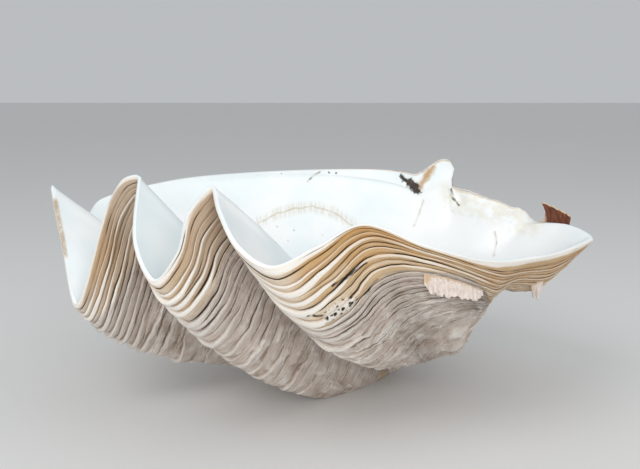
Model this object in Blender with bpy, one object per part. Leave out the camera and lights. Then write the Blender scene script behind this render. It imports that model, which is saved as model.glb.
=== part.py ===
# Giant clam shell, one valve lying hollow side up.
# Metres, +Z up, the hollow opens upward, the ribbed margin faces -Y and -X, the hinge is at the back right.

import bpy
import bmesh
import math
from mathutils import Vector
from mathutils.bvhtree import BVHTree

# Outline of the margin, as points met in turn going round the rim from the right tip, past the
# front, to the left and back along the hinge. A valley is the end of a rib, a peak is the point
# between two ribs. Roundness 1 is an even curve, a small value is a sharp point.
# name, place, roundness, facets to the next point
MARGIN = (
    ("right_tip", (0.356, 0.000, 0.213), 0.3, 3),
    ("right_front", (0.297, -0.075, 0.211), 1.0, 3),
    ("right_mid", (0.242, -0.145, 0.217), 1.0, 3),
    ("valley_4", (0.179, -0.200, 0.226), 1.0, 3),
    ("flank_4", (0.110, -0.225, 0.247), 1.0, 3),
    ("peak_4", (0.047, -0.215, 0.268), 1.0, 3),
    ("flank_3_right", (-0.002, -0.250, 0.251), 1.0, 3),
    ("valley_3", (-0.048, -0.265, 0.233), 1.0, 3),
    ("flank_3_mid", (-0.085, -0.245, 0.249), 1.0, 3),
    ("flank_3_left", (-0.109, -0.200, 0.280), 0.8, 5),
    ("peak_3", (-0.120, -0.160, 0.301), 0.4, 5),
    ("flank_2_right", (-0.141, -0.190, 0.275), 0.8, 3),
    ("flank_2_mid", (-0.152, -0.200, 0.235), 1.0, 3),
    ("valley_2", (-0.181, -0.195, 0.203), 1.0, 3),
    ("flank_2_left", (-0.207, -0.165, 0.243), 1.0, 4),
    ("peak_2", (-0.215, -0.090, 0.304), 0.3, 2),
    ("shoulder_2", (-0.235, -0.088, 0.299), 0.9, 2),
    ("flank_1_right", (-0.256, -0.078, 0.266), 0.9, 3),
    ("flank_1_mid", (-0.272, -0.085, 0.210), 1.0, 3),
    ("valley_1", (-0.303, -0.070, 0.144), 1.0, 3),
    ("flank_1_left", (-0.328, -0.030, 0.218), 1.0, 3),
    ("peak_1", (-0.356, 0.030, 0.278), 0.3, 4),
    ("valley_0", (-0.344, 0.095, 0.206), 1.0, 4),
    ("back_left", (-0.326, 0.165, 0.242), 0.8, 4),
    ("back_a", (-0.230, 0.215, 0.265), 1.0, 3),
    ("back_b", (-0.125, 0.235, 0.275), 1.0, 4),
    ("back_c", (0.016, 0.235, 0.281), 1.0, 3),
    ("back_d", (0.120, 0.215, 0.280), 1.0, 6),
    ("hinge", (0.188, 0.185, 0.264), 1.0, 7),
    ("lateral", (0.262, 0.140, 0.240), 1.0, 3),
    ("step", (0.308, 0.108, 0.217), 0.8, 3),
    ("ligament_seat", (0.343, 0.050, 0.220), 0.9, 3),
)

# The beak, where every rib starts, just outside and below the hinge.
BEAK = (0.180, 0.235, 0.190)

# How the outside runs from the margin to the beak: the pull of each curve at the margin, then at the beak.
RUNS = {
    "right_tip": ((-0.040, 0.000, -0.040), (0.095, -0.050, -0.030)),
    "right_front": ((-0.030, 0.020, -0.100), (0.090, -0.075, -0.060)),
    "right_mid": ((-0.055, 0.050, -0.088), (0.060, -0.095, -0.080)),
    "valley_4": ((-0.026, 0.060, -0.165), (0.042, -0.116, -0.197)),
    "peak_4": ((0.045, 0.045, -0.205), (0.014, -0.122, -0.262)),
    "valley_3": ((0.095, 0.080, -0.185), (-0.020, -0.120, -0.235)),
    "peak_3": ((0.140, 0.085, -0.170), (-0.035, -0.090, -0.290)),
    "valley_2": ((0.118, 0.088, -0.205), (-0.070, -0.120, -0.320)),
    "peak_2": ((0.110, 0.060, -0.185), (-0.090, -0.065, -0.285)),
    "valley_1": ((0.090, 0.040, -0.130), (-0.120, -0.050, -0.250)),
    "peak_1": ((0.130, 0.040, -0.150), (-0.130, -0.010, -0.260)),
    "valley_0": ((0.110, 0.030, -0.130), (-0.140, 0.010, -0.220)),
    "back_left": ((0.100, 0.030, -0.110), (-0.140, 0.020, -0.150)),
    "back_a": ((0.070, 0.030, -0.100), (-0.130, 0.025, -0.100)),
    "back_b": ((0.050, 0.030, -0.070), (-0.110, 0.020, -0.060)),
    "back_c": ((0.035, 0.030, -0.030), (-0.080, 0.020, -0.010)),
    "back_d": ((0.010, 0.035, 0.000), (-0.040, 0.015, 0.025)),
    "hinge": ((0.000, 0.030, 0.005), (0.000, -0.005, 0.035)),
    "lateral": ((-0.010, 0.030, -0.010), (0.050, -0.020, 0.010)),
    "ligament_seat": ((-0.030, 0.025, -0.030), (0.085, -0.045, -0.010)),
}

# Width of the rim from its outer to its inner edge. It is a thin lip, and a broad plate at the hinge.
LIP_WIDTH = {
    "right_tip": 0.0060,
    "valley_4": 0.0050,
    "peak_4": 0.0050,
    "valley_3": 0.0050,
    "peak_2": 0.0045,
    "valley_1": 0.0045,
    "peak_1": 0.0045,
    "back_left": 0.0055,
    "back_b": 0.0070,
    "back_c": 0.0100,
    "back_d": 0.0200,
    "hinge": 0.0360,
    "lateral": 0.0300,
    "step": 0.0200,
    "ligament_seat": 0.0100,
}
LIP_CROWN = 0.0012

# How far the growth ledges stand out, less in the narrow grooves between the ribs.
LEDGE_FACTOR = {
    "right_tip": 0.5,
    "right_mid": 0.5,
    "valley_4": 0.7,
    "peak_4": 0.7,
    "valley_3": 1.1,
    "peak_3": 0.25,
    "valley_2": 1.1,
    "peak_2": 0.3,
    "valley_1": 1.1,
    "peak_1": 0.5,
    "back_left": 0.6,
    "back_c": 0.3,
    "hinge": 0.1,
    "step": 0.2,
}
# Each growth ledge: the time it was laid down, counted back from the margin (0) to the beak (1), and its height.
LEDGES = (
    (0.0150, 0.0026),
    (0.0374, 0.0034),
    (0.0565, 0.0026),
    (0.0704, 0.0040),
    (0.0940, 0.0036),
    (0.120, 0.0034),
    (0.160, 0.0030),
    (0.210, 0.0028),
    (0.270, 0.0024),
    (0.340, 0.0020),
    (0.430, 0.0014),
)
LEDGE_FOOT = 0.006

# Where the growth lines of two times lie on the way from the margin (0) to the beak (1), and how much
# the youngest ones crowd towards the margin.
YOUNG_TIME = 0.11
OLD_TIME = 0.45
YOUNG_LINE = {
    "right_tip": 0.150,
    "right_front": 0.190,
    "right_mid": 0.185,
    "valley_4": 0.070,
    "flank_4": 0.056,
    "peak_4": 0.112,
    "flank_3_right": 0.145,
    "valley_3": 0.150,
    "peak_3": 0.120,
    "valley_2": 0.100,
    "peak_2": 0.090,
    "valley_1": 0.130,
    "peak_1": 0.110,
}
OLD_LINE = {
    "right_tip": 0.250,
    "right_front": 0.280,
    "right_mid": 0.270,
    "valley_4": 0.170,
    "flank_4": 0.260,
    "peak_4": 0.400,
    "flank_3_right": 0.450,
    "ligament_seat": 0.450,
}
CROWDING = {
    "right_mid": 1.00,
    "valley_4": 1.10,
    "flank_4": 1.60,
    "peak_4": 1.50,
    "flank_3_right": 1.20,
    "valley_3": 1.00,
}
OLD_ROWS = (0.50, 0.58, 0.66, 0.74, 0.82, 0.90, 0.96)

# The worn, flattened underside that it rests on: middle, half widths, and how deep it is worn.
BASE_PLACE = (0.018, 0.080)
BASE_REACH = (0.120, 0.090)
BASE_TOP = 0.090
BASE_WEAR = 0.008

# The torn frill left on the front right, under the last growth ledges.
FRILL_FROM = "valley_4"
FRILL_TO = "peak_4"
FRILL_ROWS = (0.118, 0.155)
FRILL_HEIGHT = 0.0070

# The bowl inside.
BOWL_FLOOR = (0.060, 0.045, 0.092)
BOWL_ROWS = (0.05, 0.12, 0.20, 0.29, 0.39, 0.50, 0.62, 0.75, 0.88)
BOWL_WALL_REACH = 0.42
BOWL_FLOOR_REACH = 0.62
WALL_GROWTH = 0.006
LEAST_WALL = 0.015
FLOOR_WALL = 0.016
FLOOR_EASE = 0.012
# Share of the outside's way that the bowl follows down each side, before the floor levels out.
FOLLOW = {
    "right_tip": 0.00,
    "right_front": 0.45,
    "valley_4": 0.45,
    "valley_3": 0.50,
    "valley_2": 0.56,
    "valley_1": 0.60,
    "valley_0": 0.55,
    "back_left": 0.30,
    "back_a": 0.00,
    "ligament_seat": 0.00,
}
LEVEL_SHARE = 0.60
WALL_END = 0.42
SMOOTHING = 20

# The hinge tooth on the plate, a ramp on its left and steep on its right, and the socket beside it.
TOOTH_PLACE = (0.176, 0.186)
TOOTH_ALONG = (0.905, -0.425)
TOOTH_HEIGHT = 0.037
TOOTH_RAMP = (-0.040, 0.002)
TOOTH_DROP = (0.008, 0.023)
TOOTH_REACH = 0.018
TOOTH_FOOT = (0.195, 0.235)
TOOTH_LEAN = 0.22
SOCKET_PLACE = (0.138, 0.186)
SOCKET_DEPTH = 0.010
SOCKET_REACH = 0.013

# The dried ligament left on the hinge's right end.
LIGAMENT_START = 0.36
LIGAMENT_END = 0.98
LIGAMENT_THICKNESS = 0.006
LIGAMENT_CLEARANCE = 0.0010


def key_index(name):
    return [row[0] for row in MARGIN].index(name)


def around(table, default=None):
    """Spread values given at some rim points over all of them, easing between."""
    count = len(MARGIN)
    keys = sorted((key_index(name), value) for name, value in table.items())
    spread = [default] * count
    for place, (start, first) in enumerate(keys):
        end, last = keys[(place + 1) % len(keys)]
        span = (end - start) % count or count
        for step in range(span):
            ease = step / span
            ease = ease * ease * (3 - 2 * ease)
            spread[(start + step) % count] = first * (1 - ease) + last * ease
    return spread


POINTS = [Vector(row[1]) for row in MARGIN]
ROUNDNESS = [row[2] for row in MARGIN]
FACETS = [row[3] for row in MARGIN]
MARGIN_PULL = around({name: Vector(pair[0]) for name, pair in RUNS.items()})
BEAK_PULL = around({name: Vector(pair[1]) for name, pair in RUNS.items()})
LIP = around(LIP_WIDTH)
LEDGE_SHARE = around(LEDGE_FACTOR)
FOLLOWED = around(FOLLOW)
YOUNG_LINES = around(YOUNG_LINE)
OLD_LINES = around(OLD_LINE)
CROWDED = around(CROWDING)
EVEN = [1.0] * len(MARGIN)


def curve(values, roundness, turn):
    """A smooth closed curve through the values, at a place counted in rim points."""
    count = len(values)
    index = int(math.floor(turn)) % count
    part = turn - math.floor(turn)
    before = values[(index - 1) % count]
    first = values[index]
    last = values[(index + 1) % count]
    after = values[(index + 2) % count]
    leave = (last - before) * (0.5 * roundness[index])
    arrive = (after - first) * (0.5 * roundness[(index + 1) % count])
    square = part * part
    cube = square * part
    return (
        first * (2 * cube - 3 * square + 1)
        + leave * (cube - 2 * square + part)
        + last * (3 * square - 2 * cube)
        + arrive * (cube - square)
    )


def bend(start, first_pull, last_pull, end, place):
    rest = 1 - place
    return (
        start * rest**3
        + first_pull * (3 * rest * rest * place)
        + last_pull * (3 * rest * place * place)
        + end * place**3
    )


def outside(turn, place):
    """A point on the smooth outside, from the margin (0) to the beak (1)."""
    margin = curve(POINTS, ROUNDNESS, turn)
    beak = Vector(BEAK)
    first_pull = margin + curve(MARGIN_PULL, EVEN, turn)
    last_pull = beak + curve(BEAK_PULL, EVEN, turn)
    return bend(margin, first_pull, last_pull, beak, place)


def worn(point):
    """The point, lowered on to the flattened underside where it lies over it."""
    wide = (point.x - BASE_PLACE[0]) / BASE_REACH[0]
    deep = (point.y - BASE_PLACE[1]) / BASE_REACH[1]
    share = math.exp(-((wide * wide + deep * deep) ** 2))
    height = min(max((BASE_TOP - point.z) / BASE_TOP, 0.0), 1.0)
    share *= min(2 * height, 1.0)
    level = point.z - share * (point.z + BASE_WEAR)
    return Vector((point.x, point.y, max(level, 0.0)))


def outward(turn, place):
    """The direction pointing out of the shell there."""
    small = 0.004
    along = outside(turn + small, place) - outside(turn - small, place)
    low = max(place - small, 0.0)
    down = outside(turn, low + 2 * small) - outside(turn, low)
    return along.cross(down).normalized()


def ledge_profile():
    """Times of the rows from the margin to the beak, with the height of the ledge at each row."""
    rows = [(0.0, 0.0)]
    for time, height in LEDGES:
        rows.append((time - LEDGE_FOOT, height * 0.15))
        rows.append((time, height))
    for time in OLD_ROWS:
        rows.append((time, 0.0))
    return rows


def grown(turn, time):
    """How far on the way to the beak the growth line of a time lies."""
    young = curve(YOUNG_LINES, EVEN, turn)
    old = curve(OLD_LINES, EVEN, turn)
    if time < YOUNG_TIME:
        return young * (time / YOUNG_TIME) ** curve(CROWDED, EVEN, turn)
    if time < OLD_TIME:
        return young + (old - young) * (time - YOUNG_TIME) / (OLD_TIME - YOUNG_TIME)
    return old + (1 - old) * (time - OLD_TIME) / (1 - OLD_TIME)


def turns_around():
    turns = []
    for index, facets in enumerate(FACETS):
        for step in range(facets):
            turns.append(index + step / facets)
    return turns


def frill(turn, time):
    """How far the torn frill stands out."""
    start = key_index(FRILL_FROM) - 0.4
    end = key_index(FRILL_TO) - 0.4
    if not start < turn < end:
        return 0.0
    if not FRILL_ROWS[0] < time < FRILL_ROWS[1]:
        return 0.0
    ragged = 0.75 + 0.25 * math.cos(turn * 9.0)
    return FRILL_HEIGHT * ragged


def rise(value, low, high):
    """0 up to low, 1 from high on, and a smooth rise between."""
    share = min(max((value - low) / (high - low), 0.0), 1.0)
    return share * share * (3 - 2 * share)


def plate_relief(point, socket_depth):
    """The point, shifted for the tooth and the socket of the hinge plate."""
    x = point.x - TOOTH_PLACE[0]
    y = point.y - TOOTH_PLACE[1]
    along = x * TOOTH_ALONG[0] + y * TOOTH_ALONG[1]
    across = (y * TOOTH_ALONG[0] - x * TOOTH_ALONG[1]) / TOOTH_REACH
    tooth = TOOTH_HEIGHT * math.exp(-across * across) * rise(point.z, *TOOTH_FOOT)
    tooth *= rise(along, *TOOTH_RAMP) * (1 - rise(along, *TOOTH_DROP))
    gap = math.hypot(point.x - SOCKET_PLACE[0], point.y - SOCKET_PLACE[1]) / SOCKET_REACH
    socket = socket_depth * math.exp(-gap * gap)
    return point + Vector((tooth * TOOTH_LEAN, 0.0, tooth - socket))


def inner_edge(turn):
    margin = outside(turn, 0.0)
    return margin - outward(turn, 0.0) * curve(LIP, EVEN, turn)


def rim_middle(turn):
    return (outside(turn, 0.0) + inner_edge(turn)) * 0.5


def inside(turn, place):
    """A point on the bowl's surface, from the rim's inner edge (0) to the middle of the floor (1)."""
    edge = inner_edge(turn)
    floor = Vector(BOWL_FLOOR)
    pull = curve(MARGIN_PULL, EVEN, turn)
    growth = outward(turn, 0.0) * -WALL_GROWTH
    ring = floor + (Vector((edge.x, edge.y, floor.z)) - floor) * BOWL_FLOOR_REACH
    steep = bend(edge, edge + pull * BOWL_WALL_REACH + growth, ring, floor, place)
    share = curve(FOLLOWED, EVEN, turn)
    if share <= 0.0:
        return steep
    beak = Vector(BEAK)
    first = edge + pull
    last = beak + curve(BEAK_PULL, EVEN, turn)
    start = edge.lerp(first, share)
    middle = first.lerp(last, share)
    follow = start.lerp(middle, share)
    follow.z += (floor.z - follow.z) * LEVEL_SHARE
    followed = bend(edge, start + growth, follow, floor, place)
    return steep.lerp(followed, min(share / 0.45, 1.0))


def outer_skin(turns):
    """The smooth outside as a surface to measure the wall from."""
    spots = []
    for time, _ in ledge_profile():
        spots.extend(worn(outside(turn, grown(turn, time))) for turn in turns)
    count = len(turns)
    faces = []
    for first in range(0, len(spots) - count, count):
        for index in range(count):
            following = (index + 1) % count
            faces.append((first + index, first + following, first + count + following, first + count + index))
    return BVHTree.FromPolygons(spots, faces)


def least_wall(turn, place):
    """The least thickness of the wall, growing from the lip to the floor."""
    lip = min(curve(LIP, EVEN, turn), LEAST_WALL)
    ease = min(place / 0.3, 1.0)
    return lip + (LEAST_WALL - lip) * ease


def clear_of_skin(point, skin, least):
    """The point, moved inwards until the wall behind it is thick enough."""
    for _ in range(4):
        near, normal, _, _ = skin.find_nearest(point)
        depth = -(point - near).dot(normal)
        if depth >= least:
            break
        point = point - normal * (least - depth)
    return point


def over_the_grooves(point, skin, place):
    """The point, lifted so that the floor passes smoothly over the grooves between the ribs."""
    reach = FLOOR_EASE * min(max((place - 0.4) / 0.3, 0.0), 1.0)
    if reach == 0.0:
        return point
    highest = 0.0
    for step in range(9):
        angle = step * math.pi / 4
        wide = reach * (step < 8)
        start = Vector((point.x + wide * math.cos(angle), point.y + wide * math.sin(angle), 1.0))
        hit = skin.ray_cast(start, Vector((0, 0, -1)))[0]
        if hit is not None:
            highest = max(highest, hit.z)
    level = highest + FLOOR_WALL
    gap = point.z - level
    return Vector((point.x, point.y, level + 0.5 * (gap + math.sqrt(gap * gap + 0.0004))))


def bowl_rings(turns, skin):
    """Rings of the bowl's surface, smoothed round the bowl more and more towards the floor."""
    count = len(turns)
    rings = []
    for place in (0.0,) + BOWL_ROWS:
        ring = [inside(turn, place) for turn in turns]
        if 0.0 < place < WALL_END:
            ring = [clear_of_skin(spot, skin, least_wall(turn, place)) for spot, turn in zip(ring, turns)]
        ring = [over_the_grooves(spot, skin, place) for spot in ring]
        for _ in range(int(SMOOTHING * max(place - 0.1, 0.0))):
            ring = [
                ring[index] * 0.5 + (ring[index - 1] + ring[(index + 1) % count]) * 0.25
                for index in range(count)
            ]
        if 0.0 < place < WALL_END:
            ring = [
                clear_of_skin(spot, skin, 0.8 * least_wall(turn, place)) for spot, turn in zip(ring, turns)
            ]
        rings.append((place, ring))
    return rings


def make_valve():
    turns = turns_around()
    count = len(turns)
    mesh = bmesh.new()
    rings = []
    for time, height in reversed(ledge_profile()):
        ring = []
        for turn in turns:
            place = grown(turn, time)
            lift = height * curve(LEDGE_SHARE, EVEN, turn) + frill(turn, time)
            point = worn(outside(turn, place) + outward(turn, place) * lift)
            ring.append(mesh.verts.new(plate_relief(point, 0.0)))
        rings.append(ring)
    skin = outer_skin(turns)
    crown = []
    for turn in turns:
        point = rim_middle(turn)
        point.z += LIP_CROWN
        crown.append(mesh.verts.new(plate_relief(point, SOCKET_DEPTH)))
    rings.append(crown)
    for place, spots in bowl_rings(turns, skin):
        rings.append([mesh.verts.new(plate_relief(point, SOCKET_DEPTH)) for point in spots])
    beak = mesh.verts.new(BEAK)
    floor = mesh.verts.new(BOWL_FLOOR)
    for index in range(count):
        following = (index + 1) % count
        mesh.faces.new((rings[0][index], rings[0][following], beak))
        mesh.faces.new((rings[-1][following], rings[-1][index], floor))
        for lower, upper in zip(rings, rings[1:]):
            mesh.faces.new((lower[index], upper[index], upper[following], lower[following]))
    bmesh.ops.recalc_face_normals(mesh, faces=mesh.faces[:])
    bmesh.ops.triangulate(mesh, faces=mesh.faces[:])
    return mesh


def make_ligament(valve):
    """A folded strip standing on the rim, its top edge leaning to the left."""
    tree = BVHTree.FromBMesh(valve)
    mesh = bmesh.new()
    left = rim_middle(key_index("step") + LIGAMENT_START)
    right = rim_middle(key_index("step") + LIGAMENT_END)
    along = right - left
    along.z = 0.0
    along.normalize()
    across = Vector((along.y, -along.x, 0.0))
    # place along the strip, lean to the left at the top, height of the top
    sections = (
        (0.00, -0.007, 0.0290),
        (0.20, -0.004, 0.0265),
        (0.40, -0.002, 0.0225),
        (0.60, 0.000, 0.0185),
        (0.80, 0.001, 0.0155),
        (1.00, 0.002, 0.0130),
    )
    columns = []
    for place, lean, height in sections:
        base = left.lerp(right, place)
        column = []
        for side in (1, -1):
            foot = base + across * (side * LIGAMENT_THICKNESS / 2)
            foot.z = LIGAMENT_CLEARANCE + max(
                tree.ray_cast(foot + along * shift + Vector((0, 0, 1)), Vector((0, 0, -1)))[0].z
                for shift in (-0.006, -0.003, 0.0, 0.003, 0.006)
            )
            neck = foot + Vector((lean * 0.25, 0.0, height * 0.45))
            top = foot + across * (side * 0.0015) + along * lean + Vector((0, 0, height + lean * -0.6))
            column.append([mesh.verts.new(spot) for spot in (foot, neck, top)])
        columns.append(column)
    for first, second in zip(columns, columns[1:]):
        for side in (0, 1):
            for level in (0, 1):
                mesh.faces.new(
                    (
                        first[side][level],
                        second[side][level],
                        second[side][level + 1],
                        first[side][level + 1],
                    )
                )
        mesh.faces.new((first[0][2], second[0][2], second[1][2], first[1][2]))
        mesh.faces.new((first[0][0], second[0][0], second[1][0], first[1][0]))
    for end in (columns[0], columns[-1]):
        for level in (0, 1):
            mesh.faces.new((end[0][level], end[1][level], end[1][level + 1], end[0][level + 1]))
    bmesh.ops.recalc_face_normals(mesh, faces=mesh.faces[:])
    bmesh.ops.triangulate(mesh, faces=mesh.faces[:])
    return mesh


def add_object(name, mesh, colour, roughness):
    data = bpy.data.meshes.new(name)
    mesh.to_mesh(data)
    mesh.free()
    material = bpy.data.materials.new(name)
    material.use_nodes = True
    shader = material.node_tree.nodes["Principled BSDF"]
    shader.inputs["Base Color"].default_value = (*colour, 1.0)
    shader.inputs["Roughness"].default_value = roughness
    data.materials.append(material)
    thing = bpy.data.objects.new(name, data)
    bpy.context.scene.collection.objects.link(thing)
    return thing


def centre(things):
    """Put the whole thing over the origin, resting on z = 0."""
    spots = [vertex.co for thing in things for vertex in thing.data.vertices]
    middle_x = (min(spot.x for spot in spots) + max(spot.x for spot in spots)) / 2
    middle_y = (min(spot.y for spot in spots) + max(spot.y for spot in spots)) / 2
    for thing in things:
        for vertex in thing.data.vertices:
            vertex.co.x -= middle_x
            vertex.co.y -= middle_y
    print("shifted by", round(middle_x, 5), round(middle_y, 5))


def main():
    for thing in list(bpy.data.objects):
        bpy.data.objects.remove(thing)
    valve = make_valve()
    ligament = make_ligament(valve)
    shell_object = add_object("shell", valve, (0.80, 0.76, 0.70), 0.5)
    ligament_object = add_object("ligament", ligament, (0.20, 0.10, 0.06), 0.8)
    centre((shell_object, ligament_object))


main()
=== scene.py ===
"""A giant clam shell, one valve lying hollow side up: its growth ledges, its finishes and its studio."""

import logging
import math
from dataclasses import dataclass, field
from enum import Enum

import bmesh
import bpy
import numpy as np
from mathutils import Matrix, Vector, noise
from mathutils.bvhtree import BVHTree


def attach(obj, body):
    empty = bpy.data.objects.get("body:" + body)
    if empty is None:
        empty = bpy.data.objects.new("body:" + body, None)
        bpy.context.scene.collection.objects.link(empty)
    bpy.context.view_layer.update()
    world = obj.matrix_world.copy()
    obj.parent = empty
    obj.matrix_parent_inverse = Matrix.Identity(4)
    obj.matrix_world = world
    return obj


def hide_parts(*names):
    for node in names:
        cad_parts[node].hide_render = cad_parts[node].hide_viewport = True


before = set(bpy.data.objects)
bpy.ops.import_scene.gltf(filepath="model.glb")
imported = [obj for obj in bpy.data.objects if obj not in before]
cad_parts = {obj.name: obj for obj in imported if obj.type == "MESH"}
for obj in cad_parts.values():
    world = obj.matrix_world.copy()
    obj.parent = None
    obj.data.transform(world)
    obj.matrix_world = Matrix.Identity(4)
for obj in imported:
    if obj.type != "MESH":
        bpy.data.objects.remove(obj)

logging.basicConfig(level=logging.INFO, format="%(message)s")
log = logging.getLogger("shell")

Pair = tuple[float, float]
Triple = tuple[float, float, float]
Colour = tuple[float, float, float, float]

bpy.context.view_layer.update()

# Outline of the margin, met in turn from the right tip, past the front, to the left and back along
# the hinge: name, x, y, z and roundness. A valley is the end of a rib, a peak lies between two ribs.
MARGIN = (
    ("right_tip", 0.356, 0.000, 0.213, 0.3),
    ("right_front", 0.297, -0.075, 0.211, 1.0),
    ("right_mid", 0.242, -0.145, 0.217, 1.0),
    ("valley_4", 0.179, -0.200, 0.226, 1.0),
    ("flank_4", 0.110, -0.225, 0.247, 1.0),
    ("peak_4", 0.047, -0.215, 0.268, 1.0),
    ("flank_3_right", -0.002, -0.250, 0.251, 1.0),
    ("valley_3", -0.048, -0.265, 0.233, 1.0),
    ("flank_3_mid", -0.085, -0.245, 0.249, 1.0),
    ("flank_3_left", -0.109, -0.200, 0.280, 0.8),
    ("peak_3", -0.120, -0.160, 0.301, 0.4),
    ("flank_2_right", -0.141, -0.190, 0.275, 0.8),
    ("flank_2_mid", -0.152, -0.200, 0.235, 1.0),
    ("valley_2", -0.181, -0.195, 0.203, 1.0),
    ("flank_2_left", -0.207, -0.165, 0.243, 1.0),
    ("peak_2", -0.215, -0.090, 0.304, 0.3),
    ("shoulder_2", -0.235, -0.088, 0.299, 0.9),
    ("flank_1_right", -0.256, -0.078, 0.266, 0.9),
    ("flank_1_mid", -0.272, -0.085, 0.210, 1.0),
    ("valley_1", -0.303, -0.070, 0.144, 1.0),
    ("flank_1_left", -0.328, -0.030, 0.218, 1.0),
    ("peak_1", -0.356, 0.030, 0.278, 0.3),
    ("valley_0", -0.344, 0.095, 0.206, 1.0),
    ("back_left", -0.326, 0.165, 0.242, 0.8),
    ("back_a", -0.230, 0.215, 0.265, 1.0),
    ("back_b", -0.125, 0.235, 0.275, 1.0),
    ("back_c", 0.016, 0.235, 0.281, 1.0),
    ("back_d", 0.120, 0.215, 0.280, 1.0),
    ("hinge", 0.188, 0.185, 0.264, 1.0),
    ("lateral", 0.262, 0.140, 0.240, 1.0),
    ("step", 0.308, 0.108, 0.217, 0.8),
    ("ligament_seat", 0.343, 0.050, 0.220, 0.9),
)
BEAK = (0.180, 0.235, 0.190)
ROW_SHIFT = (0.0, 0.00463, 0.0)
# Where the 640 by 469 picture shows the broken spur.
STUB_PIXEL = (537, 283)

# How the outside runs from the margin to the beak: the pull of each curve at the margin, then at the beak.
RUNS = {
    "right_tip": ((-0.040, 0.000, -0.040), (0.095, -0.050, -0.030)),
    "right_front": ((-0.030, 0.020, -0.100), (0.090, -0.075, -0.060)),
    "right_mid": ((-0.055, 0.050, -0.088), (0.060, -0.095, -0.080)),
    "valley_4": ((-0.026, 0.060, -0.165), (0.042, -0.116, -0.197)),
    "peak_4": ((0.045, 0.045, -0.205), (0.014, -0.122, -0.262)),
    "valley_3": ((0.095, 0.080, -0.185), (-0.020, -0.120, -0.235)),
    "peak_3": ((0.140, 0.085, -0.170), (-0.035, -0.090, -0.290)),
    "valley_2": ((0.118, 0.088, -0.205), (-0.070, -0.120, -0.320)),
    "peak_2": ((0.110, 0.060, -0.185), (-0.090, -0.065, -0.285)),
    "valley_1": ((0.090, 0.040, -0.130), (-0.120, -0.050, -0.250)),
    "peak_1": ((0.130, 0.040, -0.150), (-0.130, -0.010, -0.260)),
    "valley_0": ((0.110, 0.030, -0.130), (-0.140, 0.010, -0.220)),
    "back_left": ((0.100, 0.030, -0.110), (-0.140, 0.020, -0.150)),
    "back_a": ((0.070, 0.030, -0.100), (-0.130, 0.025, -0.100)),
    "back_b": ((0.050, 0.030, -0.070), (-0.110, 0.020, -0.060)),
    "back_c": ((0.035, 0.030, -0.030), (-0.080, 0.020, -0.010)),
    "back_d": ((0.010, 0.035, 0.000), (-0.040, 0.015, 0.025)),
    "hinge": ((0.000, 0.030, 0.005), (0.000, -0.005, 0.035)),
    "lateral": ((-0.010, 0.030, -0.010), (0.050, -0.020, 0.010)),
    "ligament_seat": ((-0.030, 0.025, -0.030), (0.085, -0.045, -0.010)),
}
# Width of the rim: a thin lip, and a broad plate at the hinge.
LIP_WIDTH = {
    "right_tip": 0.0060, "valley_4": 0.0050, "peak_4": 0.0050, "valley_3": 0.0050, "peak_2": 0.0045,
    "valley_1": 0.0045, "peak_1": 0.0045, "back_left": 0.0055, "back_b": 0.0070, "back_c": 0.0100,
    "back_d": 0.0200, "hinge": 0.0360, "lateral": 0.0300, "step": 0.0200, "ligament_seat": 0.0100,
}
# How far the growth ledges stand out, less in the narrow grooves between the ribs.
LEDGE_FACTOR = {
    "right_tip": 0.5, "right_mid": 0.5, "valley_4": 0.6, "peak_4": 0.65, "valley_3": 1.10,
    "peak_3": 0.25, "valley_2": 1.5, "peak_2": 0.3, "valley_1": 1.7, "flank_1_left": 2.2, "peak_1": 1.5,
    "valley_0": 1.5, "back_left": 0.8, "back_c": 0.3, "hinge": 0.1, "step": 0.2,
}
# Where the growth lines of two times lie on the way from the margin (0) to the beak (1), and how much
# the youngest ones crowd towards the margin.
YOUNG_TIME = 0.11
OLD_TIME = 0.45
YOUNG_LINE = {
    "right_tip": 0.150, "right_front": 0.190, "right_mid": 0.185, "valley_4": 0.070, "flank_4": 0.056,
    "peak_4": 0.112, "flank_3_right": 0.145, "valley_3": 0.150, "peak_3": 0.120, "valley_2": 0.100,
    "peak_2": 0.090, "valley_1": 0.130, "peak_1": 0.110,
}
OLD_LINE = {
    "right_tip": 0.250, "right_front": 0.280, "right_mid": 0.270, "valley_4": 0.170, "flank_4": 0.260,
    "peak_4": 0.400, "flank_3_right": 0.450, "ligament_seat": 0.450,
}
CROWDING = {
    "right_mid": 1.00, "valley_4": 1.10, "flank_4": 1.60, "peak_4": 1.50, "flank_3_right": 1.20,
    "valley_3": 1.00,
}
# How far from the margin the tan colour reaches, on the same way to the beak.
TAN_REACH = {
    "right_tip": 0.30, "right_mid": 0.30, "valley_4": 0.074, "flank_4": 0.056, "peak_4": 0.112,
    "flank_3_right": 0.140, "valley_3": 0.155, "flank_3_left": 0.110, "peak_3": 0.100,
    "flank_2_mid": 0.095, "valley_2": 0.085, "flank_2_left": 0.120, "peak_2": 0.140,
    "flank_1_mid": 0.105, "valley_1": 0.060, "peak_1": 0.120, "back_left": 0.100, "back_c": 0.050,
    "back_d": 0.004, "lateral": 0.004, "step": 0.010, "ligament_seat": 0.200,
}
# How warm the tan is: from greyish beige (0) to ochre (1).
WARMTH = {
    "right_tip": 0.45, "right_mid": 0.45, "valley_4": 0.55, "flank_4": 0.80, "peak_4": 1.00,
    "flank_3_right": 0.80, "valley_3": 0.60, "flank_3_mid": 0.35, "flank_3_left": 0.20, "peak_3": 0.15,
    "flank_2_right": 0.25, "flank_2_mid": 0.35, "valley_2": 0.50, "flank_2_left": 0.35, "peak_2": 0.10,
    "flank_1_right": 0.20, "flank_1_mid": 0.40, "valley_1": 0.25, "peak_1": 0.40, "back_left": 0.30,
    "back_d": 0.10, "step": 0.20,
}
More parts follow.
